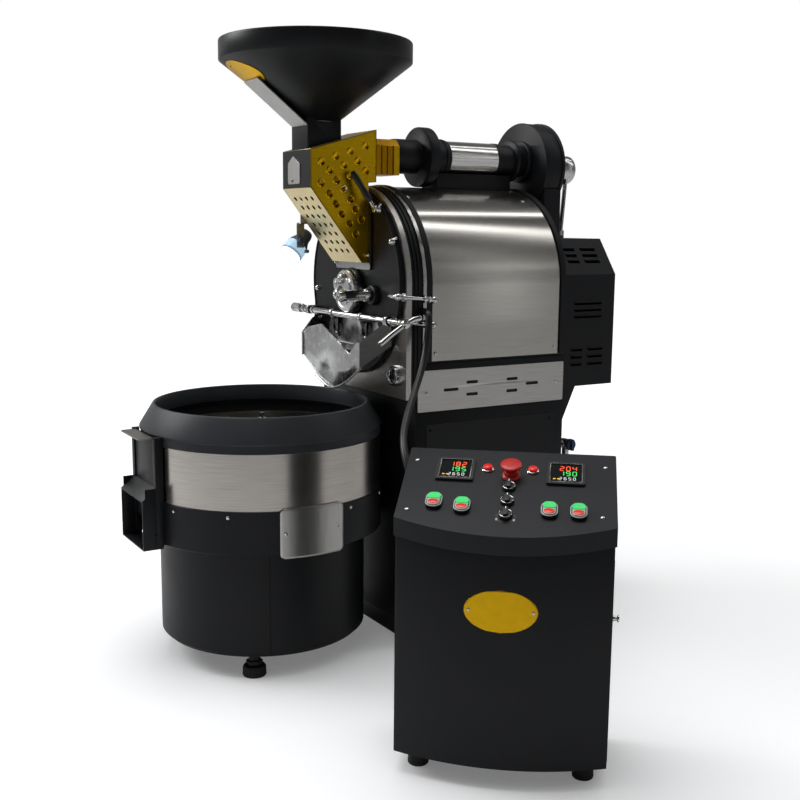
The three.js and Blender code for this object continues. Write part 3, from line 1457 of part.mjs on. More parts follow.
capPlaces().forEach(([u, v], i) => {
  const green = i % 2 === 0;
  const name = `${green ? 'start' : 'stop'}_cap_${Math.floor(i / 2) + 1}`;
  place(name, capBody(u, v), green ? greenPlastic : redPlastic, consoleTop);
});
place('conduit', conduit(), blackPlastic);

export default root;
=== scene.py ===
"""Looks of the shop drum roaster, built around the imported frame. Metres, but millimetres in mm(); +Z up."""
import json
import math

import bmesh
import bpy
from mathutils import Matrix, Vector
from mathutils.geometry import tessellate_polygon

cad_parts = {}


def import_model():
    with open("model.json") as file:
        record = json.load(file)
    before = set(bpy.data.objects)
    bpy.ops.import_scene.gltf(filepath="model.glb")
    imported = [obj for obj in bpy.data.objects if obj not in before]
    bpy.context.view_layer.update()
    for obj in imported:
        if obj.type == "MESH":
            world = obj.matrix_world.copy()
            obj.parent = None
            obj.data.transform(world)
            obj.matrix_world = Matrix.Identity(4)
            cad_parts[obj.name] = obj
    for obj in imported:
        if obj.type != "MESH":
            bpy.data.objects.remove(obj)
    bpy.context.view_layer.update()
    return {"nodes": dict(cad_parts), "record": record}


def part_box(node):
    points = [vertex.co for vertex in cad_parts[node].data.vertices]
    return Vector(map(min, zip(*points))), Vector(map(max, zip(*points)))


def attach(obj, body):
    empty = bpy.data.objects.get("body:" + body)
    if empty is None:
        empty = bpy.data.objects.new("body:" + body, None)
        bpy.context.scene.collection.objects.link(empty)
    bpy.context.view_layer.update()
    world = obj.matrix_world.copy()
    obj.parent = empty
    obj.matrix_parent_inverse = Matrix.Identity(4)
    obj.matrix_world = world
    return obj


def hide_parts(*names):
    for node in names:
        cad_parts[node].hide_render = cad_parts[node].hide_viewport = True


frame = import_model()
NODES = frame["nodes"]
TAU = 2 * math.pi

# Camera
FOCAL_PX = 1085.25
IMAGE_PX = 800
SENSOR_MM = 36.0
CAMERA_AT = Vector((2.3433, -1.5367, 1.005))
CAMERA_TURN = math.radians(58.88)
CAMERA_DOWN = math.radians(9.11)
CAMERA_ROLL = math.radians(0.51)


def linked(name, data):
    """A new object in the scene for a camera, a light, a mesh or a curve."""
    thing = bpy.data.objects.new(name, data)
    bpy.context.scene.collection.objects.link(thing)
    return thing


def place_camera():
    data = bpy.data.cameras.new("camera")
    data.sensor_width = SENSOR_MM
    data.lens = FOCAL_PX * SENSOR_MM / IMAGE_PX
    camera = linked("camera", data)
    ahead = Vector((
        -math.sin(CAMERA_TURN) * math.cos(CAMERA_DOWN),
        math.cos(CAMERA_TURN) * math.cos(CAMERA_DOWN),
        -math.sin(CAMERA_DOWN),
    ))
    level = Vector((math.cos(CAMERA_TURN), math.sin(CAMERA_TURN), 0))
    above = level.cross(ahead)
    right = level * math.cos(CAMERA_ROLL) + above * math.sin(CAMERA_ROLL)
    top = above * math.cos(CAMERA_ROLL) - level * math.sin(CAMERA_ROLL)
    turn = Matrix((right, top, -ahead)).transposed().to_4x4()
    camera.matrix_world = Matrix.Translation(CAMERA_AT) @ turn
    bpy.context.scene.camera = camera


place_camera()


# Materials
HAIR_LINE_DEPTH = 0.000012


class Nodes:
    """A material's node tree with short ways to add and wire nodes."""

    def __init__(self, name):
        self.material = bpy.data.materials.new(name)
        self.material.use_nodes = True
        self.tree = self.material.node_tree
        self.tree.nodes.clear()
        self.shader = self.add("ShaderNodeBsdfPrincipled")
        output = self.add("ShaderNodeOutputMaterial")
        self.wire(self.shader.outputs[0], output.inputs["Surface"])

    def add(self, kind, **settings):
        node = self.tree.nodes.new(kind)
        for key, value in settings.items():
            setattr(node, key, value)
        return node

    def wire(self, source, target):
        self.tree.links.new(source, target)

    def position(self, scale=(1, 1, 1)):
        where = self.add("ShaderNodeNewGeometry")
        mapping = self.add("ShaderNodeMapping")
        mapping.inputs["Scale"].default_value = scale
        self.wire(where.outputs["Position"], mapping.inputs["Vector"])
        return mapping.outputs[0]

    def noise(self, scale, stretch=(1, 1, 1), detail=4):
        node = self.add("ShaderNodeTexNoise")
        node.inputs["Scale"].default_value = scale
        node.inputs["Detail"].default_value = detail
        self.wire(self.position(stretch), node.inputs["Vector"])
        return node.outputs[0]

    def spread(self, source, low, high, low_in=0.3, high_in=0.7):
        node = self.add("ShaderNodeMapRange")
        node.inputs["From Min"].default_value = low_in
        node.inputs["From Max"].default_value = high_in
        node.inputs["To Min"].default_value = low
        node.inputs["To Max"].default_value = high
        self.wire(source, node.inputs["Value"])
        return node.outputs[0]

    def tint(self, source, dark, light):
        node = self.add("ShaderNodeMix", data_type="RGBA")
        node.inputs[6].default_value = (*dark, 1)
        node.inputs[7].default_value = (*light, 1)
        self.wire(source, node.inputs[0])
        return node.outputs[2]

    def bump(self, source, depth, strength=1.0):
        node = self.add("ShaderNodeBump")
        node.inputs["Distance"].default_value = depth
        node.inputs["Strength"].default_value = strength
        self.wire(source, node.inputs["Height"])
        self.wire(node.outputs[0], self.shader.inputs["Normal"])

    def combine(self, operation, first, second):
        """A math node on a socket and on a second socket or a number."""
        node = self.add("ShaderNodeMath", operation=operation)
        self.wire(first, node.inputs[0])
        if isinstance(second, float):
            node.inputs[1].default_value = second
        else:
            self.wire(second, node.inputs[1])
        return node.outputs[0]


def painted(name, colour, roughness=0.42, grain=0.00006):
    """Textured powder coat: a fine orange peel over a slightly uneven colour."""
    m = Nodes(name)
    peel = m.noise(900, detail=2)
    cloud = m.noise(7)
    light = tuple(c * 1.35 + 0.001 for c in colour)
    m.wire(m.tint(cloud, colour, light), m.shader.inputs["Base Color"])
    m.wire(m.spread(cloud, roughness - 0.05, roughness + 0.06), m.shader.inputs["Roughness"])
    m.bump(peel, grain, 0.6)
    m.shader.inputs["Specular IOR Level"].default_value = 0.26
    return m.material


def brushed(name, dark, light, stretch, roughness=0.3):
    """Metal with hair lines, stretched along one axis of the frame."""
    m = Nodes(name)
    line = m.noise(620, stretch, detail=3)
    broad = m.noise(9, stretch, detail=2)
    m.wire(m.tint(m.spread(line, 0, 1), dark, light), m.shader.inputs["Base Color"])
    m.wire(m.spread(broad, roughness - 0.05, roughness + 0.08), m.shader.inputs["Roughness"])
    m.bump(line, HAIR_LINE_DEPTH, 0.5)
    m.shader.inputs["Metallic"].default_value = 1
    return m.material


def metal(name, colour, roughness, mottle=40, depth=0.00004):
    """Plain metal with faint tarnish and handling marks."""
    m = Nodes(name)
    cloud = m.noise(mottle, detail=5)
    dark = tuple(c * 0.82 for c in colour)
    m.wire(m.tint(m.spread(cloud, 0, 1), dark, colour), m.shader.inputs["Base Color"])
    m.wire(m.spread(cloud, max(0.03, roughness - 0.06), roughness + 0.08), m.shader.inputs["Roughness"])
    m.bump(cloud, depth, 0.4)
    m.shader.inputs["Metallic"].default_value = 1
    return m.material


def moulded(name, colour, roughness=0.35, depth=0.00003):
    """Moulded plastic or rubber with a fine grain."""
    m = Nodes(name)
    grain = m.noise(1400, detail=2)
    cloud = m.noise(30)
    light = tuple(min(1, c * 1.2 + 0.002) for c in colour)
    m.wire(m.tint(cloud, colour, light), m.shader.inputs["Base Color"])
    m.wire(m.spread(grain, roughness - 0.04, roughness + 0.06), m.shader.inputs["Roughness"])
    m.bump(grain, depth, 0.5)
    return m.material


def glowing(name, colour, strength):
    """A lit face: a bright even colour with a faint ripple. On the lamp's bell and rim it is a painted
    highlight.
    """
    m = Nodes(name)
    ripple = m.noise(300)
    m.wire(m.tint(ripple, tuple(c * 0.85 for c in colour), colour), m.shader.inputs["Base Color"])
    m.wire(m.spread(ripple, 0.2, 0.3), m.shader.inputs["Roughness"])
    m.shader.inputs["Emission Color"].default_value = (*colour, 1)
    m.shader.inputs["Emission Strength"].default_value = strength
    return m.material


ALONG_X = (0.02, 1, 1)
ALONG_Y = (1, 0.02, 1)
ALONG_Z = (1, 1, 0.02)
ROUND_BAND = (0.02, 0.02, 1)
BLACK = painted("black_powder_coat", (0.0055, 0.0062, 0.0078))
BLACK_SATIN = painted("black_satin", (0.005, 0.0056, 0.007), 0.36, 0.00003)
STEEL_X = brushed("steel_brushed_across", (0.47, 0.45, 0.43), (0.6, 0.58, 0.555), ALONG_X)
STEEL_Y = brushed("steel_brushed_along", (0.46, 0.445, 0.415), (0.52, 0.503, 0.47), ALONG_Y, 0.2)
STEEL_Z = brushed("steel_brushed_upright", (0.5, 0.475, 0.445), (0.64, 0.61, 0.575), ALONG_Z)
PIPE_STEEL = brushed("pipe_steel", (0.6, 0.59, 0.57), (0.7, 0.69, 0.67), ALONG_Y, 0.15)
GOLD = brushed("gold_steel", (0.76, 0.462, 0.008), (0.9, 0.55, 0.012), ALONG_Y, 0.28)
# A dark amber for the elbow's folds: painted crease shade.
AMBER_PAINTED_CREASE_SHADE = metal("amber_painted_crease_shade", (0.2, 0.075, 0.003), 0.3)
GOLD_PLATE = metal("gold_plate", (0.8, 0.47, 0.012), 0.36)
AMBER = brushed("amber_steel", (0.5, 0.235, 0.006), (0.66, 0.335, 0.01), ALONG_Z, 0.22)
CAST = metal("cast_aluminium", (0.7, 0.7, 0.7), 0.24, 60, 0.00025)
CHROME = metal("chrome", (0.72, 0.72, 0.72), 0.12, 25)
# A darker copy of the scoop's metal for its right wall: painted shade.
SCOOP_WALL_PAINTED_SHADE = metal("steel_painted_shade", (0.17, 0.17, 0.165), 0.36, 60, 0.0002)
RAW = metal("raw_steel", (0.34, 0.33, 0.31), 0.38)
RUBBER = moulded("rubber", (0.008, 0.008, 0.008), 0.7, 0.00006)
PLASTIC = moulded("black_plastic", (0.008, 0.008, 0.009), 0.35)
RED = moulded("red_plastic", (0.58, 0.018, 0.014), 0.3)
GREEN = moulded("green_plastic", (0.025, 0.5, 0.13), 0.28)
BLUE = moulded("blue_plastic", (0.014, 0.032, 0.075), 0.4)
STEEL_FACE = brushed("steel_face", (0.46, 0.44, 0.42), (0.58, 0.56, 0.535), ALONG_X, 0.28)
STEEL_BAND = brushed("steel_band", (0.44, 0.41, 0.375), (0.54, 0.51, 0.47), ROUND_BAND, 0.2)
STEEL_TRIM = brushed("steel_trim", (0.48, 0.46, 0.44), (0.58, 0.56, 0.535), ALONG_Y, 0.3)
STEEL_PLATE = brushed("steel_plate", (0.46, 0.45, 0.43), (0.56, 0.55, 0.53), ALONG_Z, 0.32)
GOLD_PALE = brushed("gold_pale", (0.68, 0.57, 0.31), (0.76, 0.65, 0.38), ALONG_Y, 0.34)
CHROME_SOFT = metal("chrome_soft", (0.62, 0.6, 0.57), 0.22, 30)
BLADE = metal("blade_steel", (0.52, 0.52, 0.5), 0.42, 30)
GATE_GREY = metal("gate_grey", (0.33, 0.31, 0.28), 0.34, 40)
BRASS = metal("plated_brass", (0.62, 0.58, 0.5), 0.25, 40)
# A near black for dark seams, and for the painted shade in the sight glass.
SEAM_AND_SHADE_DARK = painted("seam_and_painted_shade_dark", (0.002, 0.002, 0.002), 0.7)
# A lighter black for the bin's rim: a painted reflection of the floor.
RIM_BLACK_PAINTED_REFLECTION = painted("rim_coat_painted_reflection", (0.032, 0.036, 0.041), 0.4)
CONSOLE_BLACK = painted("console_coat", (0.0125, 0.0135, 0.016), 0.42)
GLASS_DARK = moulded("sight_glass", (0.004, 0.004, 0.004), 0.08)
METER_RIM = moulded("meter_rim", (0.012, 0.012, 0.013), 0.3)
METER_GLASS = moulded("meter_glass", (0.005, 0.006, 0.007), 0.1)
# The lamp's bell and rim glow pale blue: a painted highlight on the dark blue head.
LAMP_RIM_PAINTED_HIGHLIGHT = glowing("lamp_rim_painted_highlight", (0.3, 0.48, 0.62), 0.5)
LAMP_BELL_PAINTED_HIGHLIGHT = glowing("lamp_bell_painted_highlight", (0.5, 0.72, 0.9), 0.62)
LAMP_SHELL = moulded("lamp_shell", (0.055, 0.085, 0.12), 0.35)
LAMP_GLOW = glowing("lamp_glow", (1.0, 1.0, 1.0), 6)
GREEN_LIT = glowing("green_lit", (0.05, 0.62, 0.16), 0.55)
RED_LIT = glowing("red_lit", (0.72, 0.04, 0.02), 0.35)
PILOT = glowing("pilot_red", (0.75, 0.015, 0.015), 0.25)
DIGIT_RED = glowing("digit_red", (0.95, 0.1, 0.03), 1.0)
DIGIT_GREEN = glowing("digit_green", (0.05, 0.75, 0.12), 0.9)
DIGIT_WHITE = glowing("digit_white", (0.85, 0.85, 0.82), 0.5)
DIGIT_AMBER = glowing("digit_amber", (0.85, 0.5, 0.05), 0.8)
TWIN_EDGE = moulded("twin_edge", (0.52, 0.52, 0.5), 0.35)
BY_SLOT = {
    "black_paint": BLACK, "brushed_steel": STEEL_Z, "gold_steel": GOLD, "cast_aluminium": CAST,
    "chrome": CHROME, "raw_steel": RAW, "rubber": RUBBER, "black_plastic": PLASTIC,
    "red_plastic": RED, "green_plastic": GREEN, "blue_plastic": BLUE,
}
BY_NODE = {
    "casing_cover": STEEL_Y, "trim_plate": STEEL_Y, "exhaust_pipe": PIPE_STEEL,
    "face_plate": STEEL_X, "bin_band": STEEL_X,
}


def dress_nodes():
    for entry in frame["record"]["subparts"]:
        node = NODES[entry["node"]]
        finish = BY_NODE.get(entry["node"], BY_SLOT[entry["material_slot"]])
        node.data.materials.clear()
        node.data.materials.append(finish)


dress_nodes()


# Ways to make pieces
SHARP_DEGREES = 38


def keep(piece, body, slot, *replaced):
    """A finished piece rides on its body and may stand for CAD nodes, which it hides. Its slot is not used."""
    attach(piece, body)
    if replaced:
        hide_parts(*replaced)


def fixed(piece, slot, *replaced):
    """A finished piece that stays with the frame."""
    keep(piece, "frame", slot, *replaced)


def eased(piece, width, limit):
    """A bevel on every edge that is sharper than a limit in radians."""
    rounding = piece.modifiers.new("edge", "BEVEL")
    rounding.width = width
    rounding.segments = 2
    rounding.limit_method = "ANGLE"
    rounding.angle_limit = limit


def smoothed(mesh, limit=SHARP_DEGREES):
    mesh.shade_smooth()
    mesh.set_sharp_from_angle(angle=math.radians(limit))


def piece_of(name, bm, material, bevel=0.0, limit=SHARP_DEGREES):
    mesh = bpy.data.meshes.new(name)
    bmesh.ops.recalc_face_normals(bm, faces=bm.faces)
    bm.to_mesh(mesh)
    bm.free()
    piece = linked(name, mesh)
    mesh.materials.append(material)
    if bevel:
        eased(piece, bevel, math.radians(limit))
    smoothed(mesh, limit)
    return piece


def toward(direction):
    """The turn that carries +Z onto a direction."""
    return Vector((0, 0, 1)).rotation_difference(Vector(direction).normalized()).to_matrix().to_4x4()


def moved(piece, matrix):
    piece.data.transform(matrix)
    return piece


def mm(*points):
    """A profile or outline given in millimetres."""
    return [(a / 1000, b / 1000) for a, b in points]


def turned(name, profile, at, material, along=(0, 0, 1), steps=96):
    """A body of revolution. The profile is a closed list of (radius, distance along the axis)."""
    bm = bmesh.new()
    rings = []
    for i in range(steps):
        angle = TAU * i / steps
        rings.append([bm.verts.new((r * math.cos(angle), r * math.sin(angle), t)) for r, t in profile])
    count = len(profile)
    for i in range(steps):
        a, b = rings[i], rings[(i + 1) % steps]
        for k in range(count):
            n = (k + 1) % count
            bm.faces.new((a[k], a[n], b[n], b[k]))
    bmesh.ops.remove_doubles(bm, verts=bm.verts, dist=1e-6)
    piece = piece_of(name, bm, material)
    return moved(piece, Matrix.Translation(at) @ toward(along))


def circle(radius, at=(0, 0), steps=48, start=0.0, sweep=TAU):
    closed = abs(sweep - TAU) < 1e-9
    count = steps if closed else steps + 1
    return [(at[0] + radius * math.cos(start + sweep * i / steps),
        at[1] + radius * math.sin(start + sweep * i / steps)) for i in range(count)]


def rectangle(width, height, at=(0, 0), radius=0.0, steps=5):
    x, y = width / 2, height / 2
    if not radius:
        return [(at[0] - x, at[1] - y), (at[0] + x, at[1] - y), (at[0] + x, at[1] + y), (at[0] - x, at[1] + y)]
    points = []
    for i, (sx, sy) in enumerate(((1, 1), (-1, 1), (-1, -1), (1, -1))):
        corner = (at[0] + sx * (x - radius), at[1] + sy * (y - radius))
        points += circle(radius, corner, steps, i * TAU / 4, TAU / 4)
    return points


def slab(name, outline, axis, span, material, bevel=0.0, holes=(), limit=SHARP_DEGREES):
    """An outline, with holes if it has any, carried along an axis from span[0] to span[1]."""
    loops = [outline, *holes]
    spots = {"X": lambda a, b, t: (t, a, b), "Y": lambda a, b, t: (a, t, b), "Z": lambda a, b, t: (a, b, t)}
    spot = spots[axis]
    bm = bmesh.new()
    near, far = [[bm.verts.new(spot(a, b, t)) for loop in loops for a, b in loop] for t in span]
    for i, j, k in tessellate_polygon([[Vector((a, b, 0)) for a, b in loop] for loop in loops]):
        bm.faces.new((near[i], near[j], near[k]))
        bm.faces.new((far[k], far[j], far[i]))
    first = 0
    for loop in loops:
        for i in range(len(loop)):
            a, b = first + i, first + (i + 1) % len(loop)
            bm.faces.new((near[a], near[b], far[b], far[a]))
        first += len(loop)
    bmesh.ops.dissolve_limit(bm, angle_limit=0.001, verts=bm.verts, edges=bm.edges)
    return piece_of(name, bm, material, bevel, limit)


def box(name, low, high, material, bevel=0.001):
    outline = [(low[0], low[1]), (high[0], low[1]), (high[0], high[1]), (low[0], high[1])]
    return slab(name, outline, "Z", (low[2], high[2]), material, bevel)


def carved(piece, *cutters):
    """The piece with the cutters taken out of it, and its bevels kept after the cuts."""
    waiting = [(m.width, m.angle_limit) for m in piece.modifiers]
    piece.modifiers.clear()
    for cutter in cutters:
        cutter.modifiers.clear()
        tool = piece.modifiers.new("cut", "BOOLEAN")
        tool.operation = "DIFFERENCE"
        tool.solver = "EXACT"
        tool.object = cutter
    bpy.context.view_layer.update()
    graph = bpy.context.evaluated_depsgraph_get()
    mesh = bpy.data.meshes.new_from_object(piece.evaluated_get(graph))
    material = piece.data.materials[0]
    piece.modifiers.clear()
    piece.data = mesh
    mesh.materials.clear()
    mesh.materials.append(material)
    for face in mesh.polygons:
        face.material_index = 0
    for cutter in cutters:
        bpy.data.objects.remove(cutter)
    for width, limit in waiting:
        eased(piece, width, limit)
    smoothed(mesh)
    return piece


def merged(name, *parts):
    """Several pieces made into one that keeps their materials, with their modifiers applied."""
    graph = bpy.context.evaluated_depsgraph_get()
    bm = bmesh.new()
    materials = []
    for part in parts:
        mesh = bpy.data.meshes.new_from_object(part.evaluated_get(graph))
        start = len(bm.faces)
        bm.from_mesh(mesh)
        bm.faces.ensure_lookup_table()
        material = part.data.materials[0]
        if material not in materials:
            materials.append(material)
        for face in bm.faces[start:]:
            face.material_index = materials.index(material)
    for part in parts:
        bpy.data.objects.remove(part)
    mesh = bpy.data.meshes.new(name)
    bm.to_mesh(mesh)
    bm.free()
    for material in materials:
        mesh.materials.append(material)
    piece = linked(name, mesh)
    smoothed(mesh)
    return piece


def rod(name, start, end, radius, material, steps=32, rounding=0.0008):
    """A straight round bar with eased ends."""
    way = Vector(end) - Vector(start)
    length, r, e = way.length, radius, min(rounding, radius / 2)
    profile = [(0, 0), (r - e, 0), (r - e / 3, e / 3), (r, e), (r, length - e), (r - e / 3, length - e / 3),
        (r - e, length), (0, length)]
    return turned(name, profile, start, material, way, steps)


def ring(name, at, direction, radius, wire, material, steps=64, sides=12):
    profile = [(radius + wire * c, wire * s) for c, s in circle(1, steps=sides)]
    return turned(name, profile, at, material, direction, steps)


def dome(name, at, direction, radius, height, material):
    """A domed head that sits on a surface."""
    skirt = height * 0.3
    profile = [(0, -SEAT), (radius, -SEAT), (radius, skirt)]
    for i in range(1, 6):
        angle = TAU / 4 * i / 5
        profile.append((radius * math.cos(angle) if i < 5 else 0, skirt + (height - skirt) * math.sin(angle)))
    return turned(name, profile, at, material, direction, 28)


def screw(name, at, direction, radius, material):
    """A pan head with a socket in it."""
    height, socket = radius * 0.62, radius * 0.42
    profile = [(0, -SEAT), (radius, -SEAT), (radius, height * 0.45), (radius * 0.86, height * 0.85),
        (radius * 0.6, height), (socket, height), (socket, height * 0.25), (0, height * 0.25)]
    return turned(name, profile, at, material, direction, 24)


def nut(name, at, direction, across, height, material):
    """A hexagonal nut with a chamfer and a stud end standing out of it."""
    half = across / 2 / math.cos(TAU / 12)
    body = slab(name, circle(half, steps=6), "Z", (-SEAT, height), material, across * 0.05, limit=30)
    end = turned(name + "_end", [(0, 0), (across * 0.28, 0), (across * 0.28, height * 1.25),
        (across * 0.2, height * 1.4), (0, height * 1.4)], (0, 0, 0), material, steps=20)
    both = merged(name, body, end)
    return moved(both, Matrix.Translation(at) @ toward(direction))


def tube(name, points, radius, material):
    """A smooth tube along a list of points."""
    curve = bpy.data.curves.new(name, "CURVE")
    curve.dimensions = "3D"
    curve.bevel_depth = radius
    curve.bevel_resolution = 3
    curve.resolution_u = 6
    curve.use_fill_caps = True
    spline = curve.splines.new("NURBS")
    spline.points.add(len(points) - 1)
    for slot, point in zip(spline.points, points):
        slot.co = (*point, 1)
    spline.use_endpoint_u = True
    spline.order_u = 3
    piece = linked(name, curve)
    curve.materials.append(material)
    return piece


# Conduit from the casing's flange into the cabinet
CONDUIT_RADIUS = 0.008
CONDUIT_ROUTE = [(0.2293, -0.2025, 0.812), (0.242, -0.2026, 0.812), (0.254, -0.203, 0.8085),
    (0.2615, -0.2045, 0.799), (0.265, -0.207, 0.784), (0.2685, -0.2115, 0.766), (0.2735, -0.217, 0.746),
    (0.286, -0.2308, 0.711), (0.3065, -0.2553, 0.674), (0.3319, -0.2865, 0.6399), (0.3647, -0.3206, 0.6077),
    (0.3988, -0.3521, 0.5766), (0.4271, -0.3711, 0.5537), (0.452, -0.3805, 0.53), (0.474, -0.384, 0.503),
    (0.492, -0.382, 0.474), (0.507, -0.376, 0.446), (0.521, -0.373, 0.422), (0.535, -0.3785, 0.406),
    (0.5504, -0.39, 0.4), (0.5643, -0.4018, 0.4)]


def conduit():
    piece = tube("conduit_hose", CONDUIT_ROUTE, CONDUIT_RADIUS, PLASTIC)
    fixed(piece, "black_plastic")
    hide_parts("conduit")


conduit()


# Places read off the frame
PLATE_THICKNESS = 0.008
PLATE_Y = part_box("round_front_plate")[1][1] - PLATE_THICKNESS
ARCH_Z = 0.868
AXIS_Z = 0.848
ROD_Y = PLATE_Y - 0.022
ROD_Z = 0.789
EXHAUST_Z = 1.174
BLOWER_Z = 1.158
BIN_X, BIN_Y = [(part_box("bin_rim")[0][i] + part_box("bin_rim")[1][i]) / 2 for i in (0, 1)]
HOPPER_Y = (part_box("hopper")[0][1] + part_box("hopper")[1][1]) / 2
GAP = 0.0003
SEAT = 0.0004
COVER_RADIUS = 0.2318
CASING_LOW = 0.6003
DOOR_Z = 0.748
TRIER_X, TRIER_Z = 0.1, 0.843
CASING_BACK = 0.475
FORWARD = (0, -1, 0)
BACK = (0, 1, 0)
UP = (0, 0, 1)
RIGHT = (1, 0, 0)


def arch(radius, bottom):
    """An upright D: a half round on two straight legs, as points in X and Z."""
    return [(-radius, bottom), (radius, bottom), *circle(radius, (0, ARCH_Z), 96, 0, TAU / 2)]


def arch_band(name, radius, wall, bottom, y0, y1, material, bevel=0.0006):
    """A sheet bent over the arch and open below."""
    outer = [(radius, bottom), *circle(radius, (0, ARCH_Z), 96, 0, TAU / 2), (-radius, bottom)]
    inner = [(-radius + wall, bottom), *reversed(circle(radius - wall, (0, ARCH_Z), 96, 0, TAU / 2)),
        (radius - wall, bottom)]
    return slab(name, outer + inner, "Y", (y0, y1), material, bevel)


# Front plates
def round_plate():
    door = rectangle(0.14, 0.048, (0, DOOR_Z), 0.004)
    entry = rectangle(0.1, 0.05, (0, 0.955), 0.003)
    shaft = circle(0.017, (0, AXIS_Z), 32)
    trier = circle(0.0142, (TRIER_X, TRIER_Z), 32)
    fixed(slab("round_plate", circle(0.222, (0, ARCH_Z), 128), "Y", (PLATE_Y, PLATE_Y + PLATE_THICKNESS),
        BLACK_SATIN, 0.0015, [door, entry, shaft, trier]), "black_paint", "round_front_plate")
    fixed(ring("round_plate_rim", (0, PLATE_Y - 0.0006, ARCH_Z), FORWARD, 0.2175, 0.0022, BLACK_SATIN, 128),
        "black_paint")
    for side in (-1, 1):
        x = 0.2 * side
        post = box("rod_post_%d" % (side + 2), (x - 0.008, ROD_Y - 0.011, ROD_Z - 0.011),
            (x + 0.008, PLATE_Y + GAP, ROD_Z + 0.011), CHROME, 0.004)
        post = carved(post, rod("post_bore", (x - 0.02, ROD_Y, ROD_Z), (x + 0.02, ROD_Y, ROD_Z), 0.0078,
            CHROME))
        fixed(post, "black_paint")


def face_plate():
    y0 = PLATE_Y + PLATE_THICKNESS + GAP
    sight_at = (0.186, y0, 0.66)
    inner = circle(0.195, (0, ARCH_Z), 96)
    glass = circle(0.015, (0.186, 0.66), 32)
    fixed(slab("face_sheet", arch(0.233, 0.607), "Y", (y0, y0 + 0.0134), STEEL_FACE, 0.0012, [inner, glass]),
        "brushed_steel", "face_plate")
    fixed(turned("sight_bezel", mm((15, -13.4), (15, 8.5), (16.2, 11.2), (19, 12), (22.2, 11.2), (24, 8.5),
        (24, -0.3), (15.6, -0.3), (15.6, -13.4)), sight_at, CHROME, FORWARD, 64), "brushed_steel")
    pane = turned("sight_pane", mm((0, -2), (14.9, -2), (14.9, 3), (0, 4.2)), sight_at, GLASS_DARK, FORWARD, 48)
    # A matte dark disc over the middle of the sight glass: painted shade for the dark inside.
    fixed(turned("sight_painted_dark_spot", mm((0, 4.4), (10.5, 4.4), (10.5, 5), (0, 5)), sight_at, SEAM_AND_SHADE_DARK, FORWARD, 48),
        "brushed_steel")
    fixed(pane, "brushed_steel")


# Casing: barrel, rings and cover
def casing():
    y0 = PLATE_Y + 0.022
    y1 = y0 + 0.453
    skirt = 0.688
    strip_seat = 0.2288
    barrel = arch_band("casing_barrel", 0.229, 0.005, CASING_LOW, y0, y1, BLACK)
    front = slab("casing_front", arch(strip_seat, CASING_LOW), "Y", (y0, y0 + 0.005), BLACK, 0,
        [circle(0.14, (0, AXIS_Z), 72)])
    rear = slab("casing_rear", arch(strip_seat, CASING_LOW), "Y", (y1 - 0.005, y1), BLACK, 0,
        [circle(0.017, (0, AXIS_Z), 48)])
    foot = box("casing_foot", (-0.233, -0.2204, CASING_LOW), (0.233, 0.2195, skirt), BLACK, 0.0015)
    foot = carved(foot, box("foot_room", (-0.225, -0.214, 0.58), (0.225, 0.213, 0.7), BLACK))
    bearing = turned("rear_bearing", mm((17, 0), (40, 0), (40, 18), (34, 24), (17, 24)), (0, y1 + GAP, AXIS_Z),
        CAST, BACK, 64)
    fixed(merged("casing_shell", barrel, front, rear, foot), "black_paint", "drum_casing")
    fixed(bearing, "black_paint")
    strips = (("casing_ring_front", 0.2305, 0.001, 0.03, BLACK_SATIN, 0.0015, 0.604),
        ("casing_bead_1", 0.233, 0.008, 0.012, BLACK_SATIN, 0.0015, 0.604),
        ("casing_bead_2", 0.233, 0.018, 0.022, BLACK_SATIN, 0.0015, 0.604),
        ("casing_strip", 0.2345, 0.03, 0.039, CHROME_SOFT, 0.0012, 0.694),
        ("casing_flange_front", 0.236, 0.04, 0.054, BLACK, 0.0025, 0.694),
        ("casing_flange_rear", 0.236, 0.433, 0.447, BLACK, 0.0025, 0.694))
    for name, radius, start, end, finish, bevel, bottom in strips:
        fixed(arch_band(name, radius, radius - strip_seat, bottom, y0 + start, y0 + end, finish, bevel),
            "black_paint")
    fixed(arch_band("cover_sheet", COVER_RADIUS, 0.0025, 0.694, y0 + 0.056, y0 + 0.431, STEEL_Y, 0.0005),
        "brushed_steel", "casing_cover")
    fixed(arch_band("cover_hem", 0.2335, 0.0014, 0.694, y0 + 0.4435, y0 + 0.4465, RUBBER, 0.0007), "rubber")
    places = [(math.radians(62), y0 + 0.062), (math.radians(60), y0 + 0.398)]
    for number, (angle, y) in enumerate(places):
        for side in (-1, 1):
            way = (side * math.cos(angle), 0, math.sin(angle))
            spot = (COVER_RADIUS * way[0], y, ARCH_Z + COVER_RADIUS * way[2])
            fixed(screw("cover_screw_%d_%d" % (number, side + 1), spot, way, 0.0045, CHROME), "chrome")
    for side in (-1, 1):
        for number, y in enumerate((y0 + 0.066, y0 + 0.42)):
            fixed(screw("cover_foot_screw_%d_%d" % (number, side + 1), (side * COVER_RADIUS, y, 0.712),
                (side, 0, 0), 0.0045, CHROME), "chrome")


